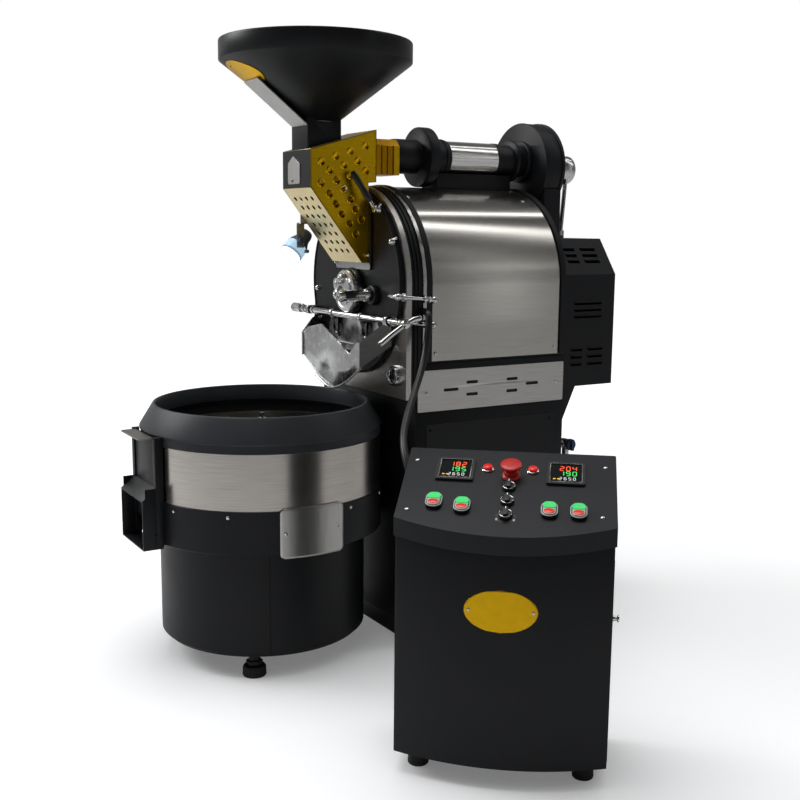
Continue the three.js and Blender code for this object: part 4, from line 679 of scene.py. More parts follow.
def tie_studs():
    """Two studs from the round plate to the casing's flange, with ball nuts at both ends."""
    x = 0.2445
    pairs = (((-0.2773, 0.8472), (-0.1808, 0.8378)), ((-0.2609, 0.7902), (-0.1826, 0.7804)))
    for number, (near, far) in enumerate(pairs):
        start, end = Vector((x, *near)), Vector((x, *far))
        along = end - start
        parts = [rod("stud", start, end, 0.0048, CHROME)]
        for spot in (start, end):
            parts.append(turned("ball", mm((0, -8.5), (5, -7.2), (8, -3.5), (8.8, 0), (8, 3.5), (5, 7.2),
                (0, 8.5)), spot, CHROME, along, 32))
        for share, radius in ((0.14, 0.0095), (0.7, 0.009), (0.84, 0.0082)):
            parts.append(turned("washer", [(0.004, 0), (radius, 0), (radius, 0.0028), (0.004, 0.0028)],
                start.lerp(end, share), CHROME, along, 32))
        root = (0.2085, ROD_Y, ROD_Z) if number else (0.206, start.y, start.z)
        parts.append(rod("stud_cross", start, root, 0.005, CHROME))
        if not number:
            parts.append(rod("stud_foot", root, (root[0], PLATE_Y + GAP, root[2]), 0.0055, CHROME))
        parts.append(rod("stud_hook", end, (0.23, end.y, end.z), 0.005, CHROME))
        fixed(merged("tie_stud_%d" % (number + 1), *parts), "chrome")
    fixed(dome("plate_dome_nut", (-0.195, PLATE_Y, 0.845), FORWARD, 0.0072, 0.009, CHROME), "chrome")
    spots = ((0.13, 1.055), (0.205, 0.98))
    for number, (x, z) in enumerate(spots):
        reach = Vector((x, 0, z - ARCH_Z)).normalized()
        at = Vector((0, PLATE_Y, ARCH_Z)) + reach * 0.213
        knob = turned("fitting", [(0, -SEAT), (0.0075, -SEAT), (0.0085, 0.002), (0.006, 0.004),
            (0.0082, 0.007), (0.007, 0.01), (0.0035, 0.0125), (0, 0.013)], at, CHROME, FORWARD, 32)
        hook = rod("fitting_arm", at + Vector((0, -0.005, 0)), at + reach * 0.016 + Vector((0, -0.002, 0)),
            0.0035, CHROME)
        fixed(merged("ring_fitting_%d" % (number + 1), knob, hook), "chrome")


# Bearing in the middle of the round plate
def bearing():
    centre = (0, PLATE_Y - GAP, AXIS_Z)
    plate = turned("bearing_plate", mm((0, 8), (51, 8), (52.5, 10), (52.5, 25), (50, 28.5), (42, 29.5),
        (40, 28), (33, 28), (31, 30.5), (20, 31.5), (0, 31.5)), centre, CAST, FORWARD, 72)
    fixed(turned("bearing_boss", mm((17, 0), (56, 0), (56, 7.9), (17, 7.9)), centre, BLACK_SATIN, FORWARD, 72),
        "black_paint")
    lobes = []
    for number, (x, z, radius) in enumerate(((-0.026, 0.016, 0.017), (-0.03, -0.01, 0.014),
            (-0.006, 0.03, 0.013))):
        spot = (x, PLATE_Y - 0.0235, AXIS_Z + z)
        lobes.append(turned("lobe", [(0, 0), (radius, 0), (radius, 0.01), (radius - 0.003, 0.0145),
            (radius * 0.55, 0.0158), (0, 0.0158)], spot, CAST, FORWARD, 40))
        lobes.append(nut("lobe_nut", (x, PLATE_Y - 0.0235 - 0.0146, AXIS_Z + z), FORWARD, radius * 0.78,
            0.0035 if number else 0.002, CAST))
    ears = slab("bearing_ears", rectangle(0.11, 0.03, (0, AXIS_Z), 0.012), "Y",
        (PLATE_Y - 0.0125, PLATE_Y - GAP), CAST, 0.002)
    fixed(merged("bearing_housing", plate, ears, *lobes), "cast_aluminium", "front_bearing")
    for number, x in enumerate((-0.0475, 0.0475)):
        fixed(screw("bearing_screw_%d" % (number + 1), (x, PLATE_Y - 0.0125, AXIS_Z), FORWARD, 0.005, CHROME),
            "chrome")


def trier():
    x, z = TRIER_X, TRIER_Z
    fixed(turned("trier_collar", [(0.0142, -GAP), (0.0245, -GAP), (0.0255, 0.004), (0.0225, 0.012),
        (0.018, 0.014), (0.0142, 0.014)], (x, PLATE_Y, z), BLACK_SATIN, FORWARD, 64), "black_paint")
    body = turned("trier_tube", mm((0, -140), (10, -140), (12.8, -132), (12.8, 14), (13.5, 15.5), (16, 17),
        (16, 26), (14, 29), (12.8, 31), (12.8, 78), (14.2, 81), (14.5, 90), (13.8, 94), (10.8, 98), (6, 97.5),
        (5.2, 94), (0, 93.6)), (x, PLATE_Y, z), CHROME, FORWARD, 64)
    trough = box("trough", (x - 0.01, PLATE_Y + 0.03, z + 0.003), (x + 0.01, PLATE_Y + 0.12, z + 0.02), CHROME)
    keep(carved(body, trough), "trier", "chrome", "sample_trier")
    for number, along in enumerate((0.03, 0.0855)):
        keep(ring("trier_ring_%d" % (number + 1), (x, PLATE_Y - along, z), FORWARD, 0.0128, 0.0013, CHROME,
            48), "trier", "chrome")


# Discharge: rod, arms, door, lever and scoop
def discharge():
    y1 = PLATE_Y - GAP
    strap_y = PLATE_Y - 0.0103
    door = slab("door_leaf", rectangle(0.156, 0.064, (0, DOOR_Z), 0.006), "Y", (y1 - 0.005, y1), CAST, 0.0012)
    arms = []
    for side in (-1, 1):
        x = side * 0.0737
        arms.append(rod("arm_hub", (x - 0.007, ROD_Y, ROD_Z), (x + 0.007, ROD_Y, ROD_Z), 0.011, CAST, 48,
            0.002))
        strap = [(strap_y, 0.73), (PLATE_Y - 0.0053, 0.73), (PLATE_Y - 0.0053, 0.7785),
            (PLATE_Y - 0.014, 0.779), (ROD_Y, 0.7785), (ROD_Y - 0.003, 0.779), (ROD_Y - 0.003, 0.794),
            (ROD_Y, 0.7945), (strap_y, 0.789)]
        arms.append(slab("arm", strap, "X", (x - 0.007, x + 0.007), CAST, 0.0016))
        arms.append(dome("arm_rivet", (x, strap_y, 0.738), FORWARD, 0.004, 0.003, CAST))
    keep(merged("door_and_arms", door, *arms), "discharge", "cast_aluminium", "discharge_door")
    bar = turned("rod_bar", mm((0, -270), (7.3, -270), (7.3, 264), (5.8, 266), (0, 266)), (0, ROD_Y, ROD_Z),
        CHROME, RIGHT, 40)
    weight = turned("rod_weight", mm((0, -295), (10, -295), (11.8, -292.5), (11.8, -247.5), (9.5, -245),
        (0, -245)), (0, ROD_Y, ROD_Z), CHROME, RIGHT, 48)
    hubs = [turned("rod_collar", mm((5, -5), (9.2, -5), (9.8, 0), (9.2, 5), (5, 5)), (x, ROD_Y, ROD_Z), CHROME,
        RIGHT, 40) for x in (-0.232, -0.18, 0.2215, 0.259)]
    keep(merged("door_rod_bar", bar, weight, *hubs), "discharge", "chrome", "door_rod")
    at = Vector((0.275, ROD_Y, ROD_Z))
    path = [(0.275, y, z) for y, z in ((-0.2387, 0.8002), (-0.2532, 0.798), (-0.268, 0.792), (-0.2897, 0.7803),
        (-0.3129, 0.7657), (-0.339, 0.747))]
    grip = tube_mesh("grip", path, 0.0068, CHROME, 20)
    ends = [turned("grip_end", mm((0, 0), (6.8, 0), (6, 3), (3.5, 4.5), (0, 5)), place, CHROME,
        Vector(place) - Vector(back), 32) for place, back in ((path[0], path[1]), (path[-1], path[-2]))]
    hub = turned("grip_hub", mm((0, -7), (10, -7), (11.2, 0), (10, 7), (5, 9.5), (0, 10)), at, CHROME, RIGHT,
        40)
    keep(merged("grip_lever", grip, *ends, hub), "discharge", "chrome", "door_lever")


def sheet_of(name, rows, material, thickness, inward=1):
    """A smooth sheet through rows of points, thickened to one side."""
    bm = bmesh.new()
    grid = [[bm.verts.new(point) for point in row] for row in rows]
    for upper, lower in zip(grid, grid[1:]):
        for i in range(len(upper) - 1):
            bm.faces.new((upper[i], upper[i + 1], lower[i + 1], lower[i]))
    piece = piece_of(name, bm, material)
    solid = piece.modifiers.new("thickness", "SOLIDIFY")
    solid.thickness = thickness
    solid.offset = -inward
    return piece


def between(table, s):
    """Straight-line value at s from a list of (place, value)."""
    for (s0, v0), (s1, v1) in zip(table, table[1:]):
        if s <= s1:
            return v0 + (v1 - v0) * (s - s0) / (s1 - s0)
    return table[-1][1]


def scoop():
    lip, height = 0.612, 0.166
    front_edge = lip + height * 0.386
    corner = lip + height * 0.747
    horn = lip + height * 0.922
    notch = lip + height * 0.56
    rear_edge = lip + height * 0.705
    top = lip + height
    y0 = PLATE_Y - GAP
    y1 = y0 - 0.07
    rim = [(-1, corner), (-0.83, lip + height * 0.84), (-0.33, horn), (0.63, notch), (0.9, corner), (1, corner)]
    rows = []
    steps = 48
    for j in range(steps + 1):
        t = j / steps
        row = []
        for i in range(steps + 1):
            s = 2 * i / steps - 1
            low = lip + (front_edge - lip) * abs(s) ** 1.6
            high = between(rim, s)
            z = low + (high - low) * t
            x = 0.15 * s
            dent = math.exp(-((x + 0.02) / 0.035) ** 2 - ((z - 0.655) / 0.03) ** 2)
            fold = 0.003 * math.sin(5.2 * s + 1.1) * math.sin(math.pi * t) ** 0.5
            fall = 0.009 * max(0, 0.35 - t) / 0.35 * (1 - s * s)
            row.append((x, y1 + 0.0034 + 0.006 * dent + fold * 0.5 + fall * 0.5, z))
        rows.append(row)
    front = sheet_of("scoop_front", rows, CAST, 0.003)
    sides = []
    for side in (-1, 1):
        edges = [((0.18, y0, rear_edge), (0.18, y0, top)),
            ((0.1707, y0 - 0.0217, rear_edge + (front_edge - rear_edge) * 0.31), (0.1707, y0 - 0.0217, top)),
            ((0.15, y1 + 0.0015, front_edge), (0.15, y1 + 0.0015, corner))]
        lines = []
        for (a, b), (c, d) in zip(edges, edges[1:]):
            for k in range(9):
                u = k / 8
                low = Vector(a).lerp(Vector(c), u)
                high = Vector(b).lerp(Vector(d), u)
                lines.append([(side * p.x, p.y, p.z) for p in (low.lerp(high, v / 12) for v in range(13))])
        # The right wall takes the darker copy of the metal: painted shade.
        wall = sheet_of("scoop_side", lines, CAST if side < 0 else SCOOP_WALL_PAINTED_SHADE, 0.003, side)
        sides.append(wall)
    bead = [(0.15 * s, y1 + 0.004, lip + (front_edge - lip) * abs(s) ** 1.6 + 0.0006)
        for s in (2 * i / 40 - 1 for i in range(41))]
    lip_bead = tube_mesh("scoop_lip", bead, 0.0026, CAST, 10)
    fixed(merged("scoop_body", front, *sides, lip_bead), "cast_aluminium", "discharge_scoop")
    fixed(slab("scoop_back", mm((-130, 700), (130, 700), (130, 760), (115, 778), (-115, 778), (-130, 760)),
        "Y", (PLATE_Y - 0.0018, PLATE_Y - GAP), CAST, 0.0004, [rectangle(0.158, 0.066, (0, DOOR_Z), 0.004)]),
        "cast_aluminium")
    for side in (-1, 1):
        fixed(screw("scoop_screw_%d" % (side + 2), (side * 0.176, PLATE_Y - 0.001, 0.77), FORWARD, 0.0042,
            CHROME), "chrome")


def tube_mesh(name, points, radius, material, sides=12):
    """A round wire along a list of points, as a mesh with closed ends."""
    bm = bmesh.new()
    points = [Vector(point) for point in points]
    rings = []
    across = None
    for i, point in enumerate(points):
        way = (points[min(i + 1, len(points) - 1)] - points[max(i - 1, 0)]).normalized()
        across = way.orthogonal() if across is None else across - way * across.dot(way)
        across.normalize()
        other = way.cross(across)
        rings.append([bm.verts.new(point + (across * c + other * s) * radius)
            for c, s in circle(1, steps=sides)])
    for a, b in zip(rings, rings[1:]):
        for k in range(sides):
            n = (k + 1) % sides
            bm.faces.new((a[k], a[n], b[n], b[k]))
    bm.faces.new(rings[0][::-1])
    bm.faces.new(rings[-1])
    return piece_of(name, bm, material)


# Feed chute with its louvred holes
CHUTE_SIDE = [(-0.155, 1.09), (-0.155, 1.177), (0.017, 1.227), (0.017, 1.1063), (-0.004, 1.1063),
    (-0.004, 0.918), (-0.021, 0.918)]
SIDE_HOLES = [(-0.38279, 1.14908), (-0.34563, 1.16308), (-0.3077, 1.17502), (-0.26709, 1.18904),
    (-0.36174, 1.13028), (-0.32422, 1.1431), (-0.28778, 1.15375), (-0.38345, 1.10078), (-0.34306, 1.10824),
    (-0.3076, 1.12045), (-0.26604, 1.1323), (-0.36182, 1.07713), (-0.32418, 1.08849), (-0.34518, 1.05425),
    (-0.3067, 1.06436), (-0.32995, 1.03066), (-0.29387, 1.04223), (-0.30927, 1.00898), (-0.27824, 1.01925),
    (-0.29291, 0.98542)]


def chute():
    half, wall = 0.075, 0.002
    (head_y, head_low), (_, head_top) = CHUTE_SIDE[:2]
    side_points = [(PLATE_Y + y, z) for y, z in CHUTE_SIDE]
    holes = [circle(0.0078, spot, 20) for spot in SIDE_HOLES]
    for side in (-1, 1):
        x0, x1 = sorted((side * half, side * (half - wall)))
        fixed(slab("chute_side_%d" % (side + 2), side_points, "X", (x0, x1), GOLD, 0, holes), "gold_steel")
        lips = []
        for y, z in SIDE_HOLES:
            tilt = math.radians(35)
            across = (0, math.cos(tilt), math.sin(tilt))
            lip = turned("louvre", mm((7.8, -1.8), (10, -0.2), (8.8, 1.2), (7.4, 0.4)), (side * half, y, z),
                GOLD, (side, 0, 0), 24)
            flap = slab("flap", circle(0.0073, (0, 0), 16), "Z", (-0.0004, 0.0006), GOLD, 0)
            turn = Matrix.Rotation(math.radians(24) * side, 4, Vector(across))
            face = toward((side, 0, 0)) @ Matrix.Rotation(tilt, 4, "Z")
            moved(flap, Matrix.Translation((side * (half - 0.0022), y, z)) @ turn @ face)
            lips += [lip, flap]
        fixed(merged("chute_louvres_%d" % (side + 2), *lips), "gold_steel")
    slope = Vector((0, CHUTE_SIDE[-1][0] - head_y, CHUTE_SIDE[-1][1] - head_low))
    length = slope.length
    under_holes = [circle(0.0062, (0.0235 * (i - 1.5) * 1.25 + 0.006 * (j % 2), 0.03 + 0.0255 * j), 16)
        for i in range(4) for j in range(7)]
    under = slab("chute_floor", rectangle(2 * half, length, (0, length / 2)), "Z", (0, wall), GOLD_PALE, 0,
        under_holes)
    tilt = math.atan2(slope.z, slope.y)
    place = Matrix.Translation((0, PLATE_Y + head_y, head_low)) @ Matrix.Rotation(tilt, 4, "X")
    fixed(moved(under, place), "gold_steel", "feed_chute")
    fixed(box("chute_head", (-half, PLATE_Y + head_y, head_low), (half, PLATE_Y + head_y + wall, head_top),
        BLACK_SATIN, 0.0006), "gold_steel")
    neck = 0.0443
    lid_run = 0.172
    rise = math.atan2(0.05, lid_run)
    lid_length = lid_run / math.cos(rise)
    window = [(x, y / math.cos(rise)) for x, y in rectangle(2 * neck, 2 * neck, (0, -head_y - 0.103))]
    lid_place = Matrix.Translation((0, PLATE_Y + head_y, head_top)) @ Matrix.Rotation(rise, 4, "X")
    fixed(moved(slab("chute_lid", rectangle(2 * half, lid_length, (0, lid_length / 2)), "Z", (-wall, 0),
        GOLD_PALE, 0.0004, [window]), lid_place), "gold_steel")
    fixed(slab("chute_back", rectangle(2 * half, 0.121, (0, 1.1668)), "Y",
        (PLATE_Y + 0.017 - wall, PLATE_Y + 0.017), GOLD, 0, [rectangle(0.072, 0.07, (0, 1.169))]), "gold_steel")
    plate_outline = [(-0.0435, 1.1045), (-0.0395, 1.1), (0.016, 1.1), (0.0195, 1.1045), (0.0195, 1.146),
        (-0.014, 1.164), (-0.017, 1.164), (-0.0435, 1.148)]
    fixed(slab("head_plate", plate_outline, "Y", (PLATE_Y - 0.1568, PLATE_Y - 0.1548), STEEL_PLATE, 0.0006),
        "brushed_steel")
    fixed(screw("head_plate_screw", (-0.019, PLATE_Y - 0.1568, 1.1075), FORWARD, 0.0036, RAW), "chrome")
    outline = rectangle(0.174, 0.155, (0, 0.9785), 0.022, 8)
    mouth = rectangle(0.1, 0.05, (0, 0.955))
    fixed(slab("chute_frame", outline, "Y", (PLATE_Y - 0.004, PLATE_Y - GAP), BLACK_SATIN, 0.0012, [mouth]),
        "gold_steel")
    fixed(slab("chute_foot_plate", rectangle(0.172, 0.0165, (0, 0.9095), 0.007, 6), "Y",
        (PLATE_Y - 0.0056, PLATE_Y - 0.0039), STEEL_PLATE, 0.0006), "gold_steel")
    for number, (x, z) in enumerate(((-0.082, 0.915), (0.081, 0.936), (-0.081, 1.035))):
        fixed(dome("chute_nut_%d" % (number + 1), (x, PLATE_Y - 0.004, z), FORWARD, 0.0052, 0.009, CHROME),
            "chrome")


# Hopper and its blade
BLADE_HALF = 0.04
BLADE_THICKNESS = 0.0025
CONE_FOOT_Z = 1.243
CONE_FOOT_RADIUS = 0.05


def hopper():
    at = (0, HOPPER_Y, 0)
    shell = turned("hopper_shell", mm((50, 1243), (223.5, 1376.5), (225, 1378.5), (225, 1418), (224.5, 1421),
        (223.5, 1422), (222.2, 1421), (222, 1418), (223, 1416.5), (223, 1379.5), (48, 1243)), at, BLACK_SATIN,
        UP, 144)
    outer = rectangle(0.088, 0.088, (0, HOPPER_Y), 0.004)
    inner = rectangle(0.084, 0.084, (0, HOPPER_Y), 0.002)
    neck = slab("neck", outer, "Z", (1.178, 1.2515), BLACK_SATIN, 0.0006, [inner])
    bore = turned("neck_bore", mm((0, 1240), (48, 1242.8), (60, 1253.5), (60, 1270), (0, 1270)), at,
        BLACK_SATIN, UP, 72)
    neck = carved(neck, bore)
    fixed(carved(merged("hopper_body", shell, neck), blade_room(0.0008)), "black_paint", "hopper")


def blade_place():
    """The slide blade's length along the cone, and the place and lean of its outer end."""
    low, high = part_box("hopper_gate")
    slope = math.atan2(1.378 - CONE_FOOT_Z, 0.225 - CONE_FOOT_RADIUS)
    length = (high[1] - low[1] - BLADE_THICKNESS * math.sin(slope)) / math.cos(slope)
    end = Vector((0, high[1] - BLADE_THICKNESS * math.sin(slope), low[2] + BLADE_THICKNESS * math.cos(slope)))
    return length, Matrix.Translation(end) @ Matrix.Rotation(-slope, 4, "X")


def blade_room(grow):
    """The slide blade's own block, grown on every side, to cut the hopper with."""
    length, place = blade_place()
    outline = rectangle(2 * (BLADE_HALF + grow), length + 2 * grow, (0, -length / 2))
    return moved(slab("blade_room", outline, "Z", (-BLADE_THICKNESS - grow, grow), BLACK_SATIN), place)


def hopper_blade():
    length, place = blade_place()
    outline = [(BLADE_HALF, 0), *circle(0.006, (0.034, -length + 0.006), 6, 0, -TAU / 4),
        *circle(0.006, (-0.034, -length + 0.006), 6, -TAU / 4, -TAU / 4), (-BLADE_HALF, 0)]
    keep(moved(slab("gate_blade", outline, "Z", (-BLADE_THICKNESS, 0), BLADE, 0.0006), place), "hopper_gate",
        "raw_steel", "hopper_gate")


def hopper_oval():
    """A bare gold oval that follows the cone, with one small screw."""
    slope = math.atan2(1.3765 - CONE_FOOT_Z, 0.2235 - CONE_FOOT_RADIUS)
    angle, middle, half_length, half_height, lean = -1.6263, 0.18, 0.0673, 0.0392, -0.1869

    def on_cone(u, v, lift):
        s = half_length * u * math.cos(lean) - half_height * v * math.sin(lean)
        t = half_length * u * math.sin(lean) + half_height * v * math.cos(lean)
        reach = middle + t * math.cos(slope)
        turn = angle + s / reach
        way = Vector((math.cos(turn) * math.sin(slope), math.sin(turn) * math.sin(slope), -math.cos(slope)))
        z = CONE_FOOT_Z + (reach - CONE_FOOT_RADIUS) * math.tan(slope)
        return Vector((reach * math.cos(turn), HOPPER_Y + reach * math.sin(turn), z)) + way * lift, way

    rows = []
    for j in range(25):
        v = -math.cos(math.pi * j / 24)
        wide = math.sqrt(max(0.0, 1 - v * v)) + 0.0005
        rows.append([on_cone(wide * (-1 + 2 * i / 24), v, 0.0008)[0] for i in range(25)])
    fixed(sheet_of("hopper_oval", rows, GOLD_PLATE, 0.0011, 0), "gold_steel")
    spot, way = on_cone(-0.42, 0.55, 0.0012)
    fixed(screw("hopper_oval_screw", spot, way, 0.003, RAW), "chrome")


# Exhaust line
def exhaust():
    y = PLATE_Y

    def on_line(name, profile, material):
        return turned(name, profile, (0, y, EXHAUST_Z), material, BACK)

    width, below, above, fold, wall = 0.044, 0.048, 0.037, 0.016, 0.002
    z0, z1 = EXHAUST_Z - below, EXHAUST_Z + above
    outer = [(-width, z0), (width, z0), (width, z1 - fold), (width - fold, z1), (-width + fold, z1),
        (-width, z1 - fold)]
    inner = [(-width + wall, z0 + wall), (width - wall, z0 + wall), (width - wall, z1 - fold),
        (width - fold, z1 - wall), (-width + fold, z1 - wall), (-width + wall, z1 - fold)]
    fixed(slab("elbow_sheet", outer, "Y", (y + 0.0173, y + 0.099), AMBER, 0.0007, [inner]), "gold_steel",
        "exhaust_elbow")
    # Dark amber strips at the elbow's folds: painted crease shade.
    for number, along in enumerate((0.048, 0.064, 0.08)):
        fixed(box("elbow_fold_%d" % (number + 1), (width - 0.001, y + along, z0 + 0.002),
            (width + 0.0012, y + along + 0.0026, z1 - fold - 0.001), AMBER_PAINTED_CREASE_SHADE, 0.0004), "gold_steel")
    fixed(box("elbow_end", (width - 0.001, y + 0.083, z0 + 0.002),
        (width + 0.0009, y + 0.0985, z1 - fold - 0.001), GOLD_PLATE, 0.0004), "gold_steel")
    line = on_line("damper_line", mm((39.2, 99.3), (40.2, 99.3), (41.4, 106), (42, 118), (42, 146),
        (41.2, 160), (41.2, 170), (48, 172.5), (70, 173), (72.5, 175), (73, 178), (73, 198), (72.5, 201),
        (70, 203), (50, 203.5), (45, 206.5), (45, 250), (43.5, 253), (39.2, 253)), BLACK)
    groove = on_line("damper_groove", mm((44, 238), (46.6, 238), (47, 240.5), (46.6, 243), (44, 243)),
        BLACK_SATIN)
    saddle = box("saddle", (-0.034, y + 0.213, 0.985), (0.034, y + 0.44, 1.1355), BLACK, 0.001)
    saddle = carved(saddle, turned("under", mm((0, 0), (232.1, 0), (232.1, 600), (0, 600)), (0, y, ARCH_Z),
        BLACK, BACK, 192), on_line("over", mm((0, 150), (44, 150), (44, 500), (0, 500)), BLACK))
    fixed(merged("damper_body", line, groove, saddle), "black_paint", "damper_housing")
    fixed(on_line("pipe_tube", mm((39.5, 253.3), (42.5, 253.3), (42.5, 396), (39.5, 396)), PIPE_STEEL),
        "brushed_steel", "exhaust_pipe")
    fixed(on_line("inlet_tube", mm((38, 396.3), (41, 396.3), (43.5, 399), (43.5, 412), (41, 414.5), (41, 450),
        (51, 452), (53, 455), (53, 461), (51, 464), (41, 466), (41, 484), (51, 485.7), (53, 488), (53, 497.7),
        (38, 497.7)), BLACK), "black_paint", "blower_inlet")


def spiral(inset):
    """The blower's outline: a round that widens towards an outlet pointing down on the left."""
    radius, growth, width, bottom = 0.11, 0.02, 0.074, 1.041
    points = []
    for i in range(97):
        angle = -TAU / 4 + 0.75 * TAU * i / 96
        turn = max(0, angle) / math.pi
        r = radius + growth * turn * turn - inset
        points.append((r * math.cos(angle), BLOWER_Z + r * math.sin(angle)))
    outer = radius + growth - inset
    ends = [(-outer, bottom), (-outer + width - 2 * inset, bottom),
        (-outer + width - 2 * inset, BLOWER_Z - radius + inset)]
    return points + ends


def blower():
    y0 = PLATE_Y + 0.498
    y1 = y0 + 0.06
    wall = 0.003
    inlet = circle(0.038, (0, EXHAUST_Z), 64)
    front = slab("blower_front", spiral(0), "Y", (y0, y0 + wall), BLACK, 0.001, [inlet])
    back = slab("blower_back", spiral(0), "Y", (y1 - wall, y1), BLACK, 0.001,
        [circle(0.0063, (0, BLOWER_Z), 32)])
    outer, inner = spiral(0), spiral(wall)
    skin = slab("blower_skin", outer[:-2] + [(outer[-3][0] + wall, 1.041)] + inner[96::-1], "Y",
        (y0 + wall, y1 - wall), BLACK, 0.0004)
    lip = slab("blower_lip", [outer[-2], outer[-1], (0, BLOWER_Z - 0.11), (0, BLOWER_Z - 0.107),
        (outer[-1][0] - wall, BLOWER_Z - 0.107), (outer[-2][0] - wall, 1.041)], "Y", (y0 + wall, y1 - wall),
        BLACK, 0.0004)
    rim = slab("blower_rim", spiral(-0.002)[:97] + spiral(0.004)[96::-1], "Y", (y1 - 0.009, y1), BLACK, 0.0022)
    edge = tube_mesh("blower_edge", [(x, y0 + 0.0012, z) for x, z in spiral(0.0005)[:97]], 0.0014, BLACK, 10)
    foot = box("blower_foot", (-0.05, y0 + wall, 0.9773), (0.1, y1 - wall, BLOWER_Z - 0.055), BLACK, 0.0015)
    fixed(merged("blower_case", front, back, skin, lip, rim, edge, foot), "black_paint", "blower_housing")
    start = y1 + GAP
    motor = turned("fan_motor", mm((6.3, 0), (37, 0), (37, 10), (35.5, 12), (35.5, 60), (37, 62), (37, 92),
        (36.2, 96), (34, 99), (31, 100), (0, 100), (0, 6.3), (6.3, 6.3)), (0, start, BLOWER_Z), CAST, BACK, 96)
    fins = [turned("motor_fin", mm((35, 0), (36.9, 0), (36.9, 2.2), (35, 2.2)),
        (0, start + 0.016 + 0.0062 * i, BLOWER_Z), CAST, BACK, 72) for i in range(7)]
    top = Vector((0.0222, start + 0.075, BLOWER_Z - 0.0222))
    low = Vector((0.05, PLATE_Y + CASING_BACK + GAP + 0.165 * 0.74, 0.9775))
    strut = box("motor_strut", (-0.006, -0.003, 0), (0.006, 0.003, (top - low).length), CHROME_SOFT, 0.0012)
    moved(strut, Matrix.Translation(low) @ toward(top - low))
    fork = box("strut_fork", (low.x - 0.008, low.y - 0.0075, low.z),
        (low.x + 0.008, low.y + 0.0075, low.z + 0.02), CHROME_SOFT, 0.0015)
    fixed(merged("fan_motor_body", motor, *fins, strut, fork), "cast_aluminium", "blower_motor")


# Louvred rear cover: the pressed lips over its slots
def rear_cover_lips():
    y0, z0, depth, height, half, wide = PLATE_Y + CASING_BACK + GAP, 0.605, 0.165, 0.372, 0.225, 0.008
    pairs, long = ((0.164, 0.379), (0.493, 0.793)), ((0.2, 0.743),)
    rows = [(share, pairs) for share in (0.915, 0.875, 0.835)]
    rows += [(share, long) for share in (0.555, 0.51, 0.465)]
    rows += [(share, pairs) for share in (0.24, 0.19, 0.14)]
    lean = math.atan2(0.064, 0.089)
    for side in (-1, 1):
        lips = []
        for share, spans in rows:
            top = z0 + height * share + wide
            drop = max(0, top - (z0 + height - 0.089))
            x, tilt = half - drop * math.tan(lean), lean if drop else 0
            for a, b in spans:
                outline = [(-0.0006, 0.0018), (0.001, 0.0014), (0.0026, -0.002), (0.002, -0.0026),
                    (0.0004, -0.0002), (-0.0006, 0)]
                outline = [(side * (x + p * math.cos(tilt) - q * math.sin(tilt)),
                    top + p * math.sin(tilt) + q * math.cos(tilt)) for p, q in outline]
                lips.append(slab("lip", outline, "Y", (y0 + depth * a - 0.001, y0 + depth * b + 0.001), BLACK,
                    0.0003))
        fixed(merged("rear_louvres_%d" % (side + 2), *lips), "black_paint")
    fixed(screw("rear_screw", (0.1655, y0 + 0.012, z0 + height - 0.0066), (0.812, 0, 0.584), 0.0038, CHROME),
        "chrome")


# Lamp beside the chute
def work_lamp():
    x1 = -0.0753
    pivot_z = 0.968
    y = PLATE_Y - 0.098
    plate = slab("lamp_plate", rectangle(0.02, 0.03, (y, 1.023), 0.003), "X", (x1 - 0.003, x1), RAW, 0.0005)
    arm = [(x1, 1.008), (x1, 1.011), (x1 - 0.022, 1.011), (x1 - 0.025, 1.008), (x1 - 0.025, 0.95),
        (x1 - 0.022, 0.95), (x1 - 0.022, 1.008)]
    bent = slab("lamp_arm", arm, "Y", (y - 0.01, y + 0.01), RAW, 0.0008)
    pin_hole = rod("pin_hole", (x1 - 0.04, y, pivot_z), (x1, y, pivot_z), 0.0044, RAW)
    fixed(merged("lamp_bracket_sheet", plate, carved(bent, pin_hole)), "raw_steel", "lamp_bracket")
    pivot = x1 - 0.022
    x = pivot - 0.006 - 0.026
    tilt = math.radians(44)
    yaw = math.radians(14)
    way = Vector((math.sin(yaw) * math.cos(tilt), -math.cos(yaw) * math.cos(tilt), -math.sin(tilt)))
    at = Vector((x, y + 0.011, 0.96))
    can = turned("lamp_can", mm((0, -40), (9, -39.6), (14, -37), (16.5, -32), (17.5, -26), (17.8, -16),
        (20.5, -8), (24.5, 0), (26.8, 8), (26.8, 9), (0, 9)), at, LAMP_SHELL, way, 72)
    # The bell and the lip glow: a painted highlight on the head.
    bell = turned("lamp_bell_painted_highlight", mm((0, 8.8), (27, 8.8), (28, 20), (28.2, 33), (0, 33)), at, LAMP_BELL_PAINTED_HIGHLIGHT, way, 72)
    lip = turned("lamp_lip", mm((24, 32.5), (28.6, 32.5), (28.6, 38.5), (27.2, 39.2), (25.8, 37), (24, 37)),
        at, LAMP_RIM_PAINTED_HIGHLIGHT, way, 72)
    keep(bell, "lamp", "black_paint")
    keep(lip, "lamp", "black_paint")
    tab = rod("lamp_tab", (x + 0.018, y + 0.016, 0.941), (x + 0.034, y + 0.019, 0.941), 0.0045, LAMP_SHELL, 24,
        0.0015)
    stub = rod("lamp_stub", (x, y, pivot_z), (pivot + 0.006, y, pivot_z), 0.004, LAMP_SHELL)
    knob = turned("lamp_knob", mm((0, 0.3), (8, 0.3), (8, 8), (5, 9), (0, 9)), (pivot, y, pivot_z), LAMP_SHELL,
        RIGHT, 32)
    wings = slab("lamp_wing", rectangle(0.004, 0.026, (y, pivot_z), 0.0019), "X",
        (pivot + 0.004, pivot + 0.009), LAMP_SHELL, 0.0008)
    keep(merged("lamp_body", can, tab, stub, knob, wings), "lamp", "black_paint", "lamp_head")
    keep(turned("lamp_face", mm((0, 36.5), (25.7, 36.5), (25.7, 37.8), (16, 39), (0, 39.4)), at, LAMP_GLOW,
        way, 64), "lamp", "black_paint")


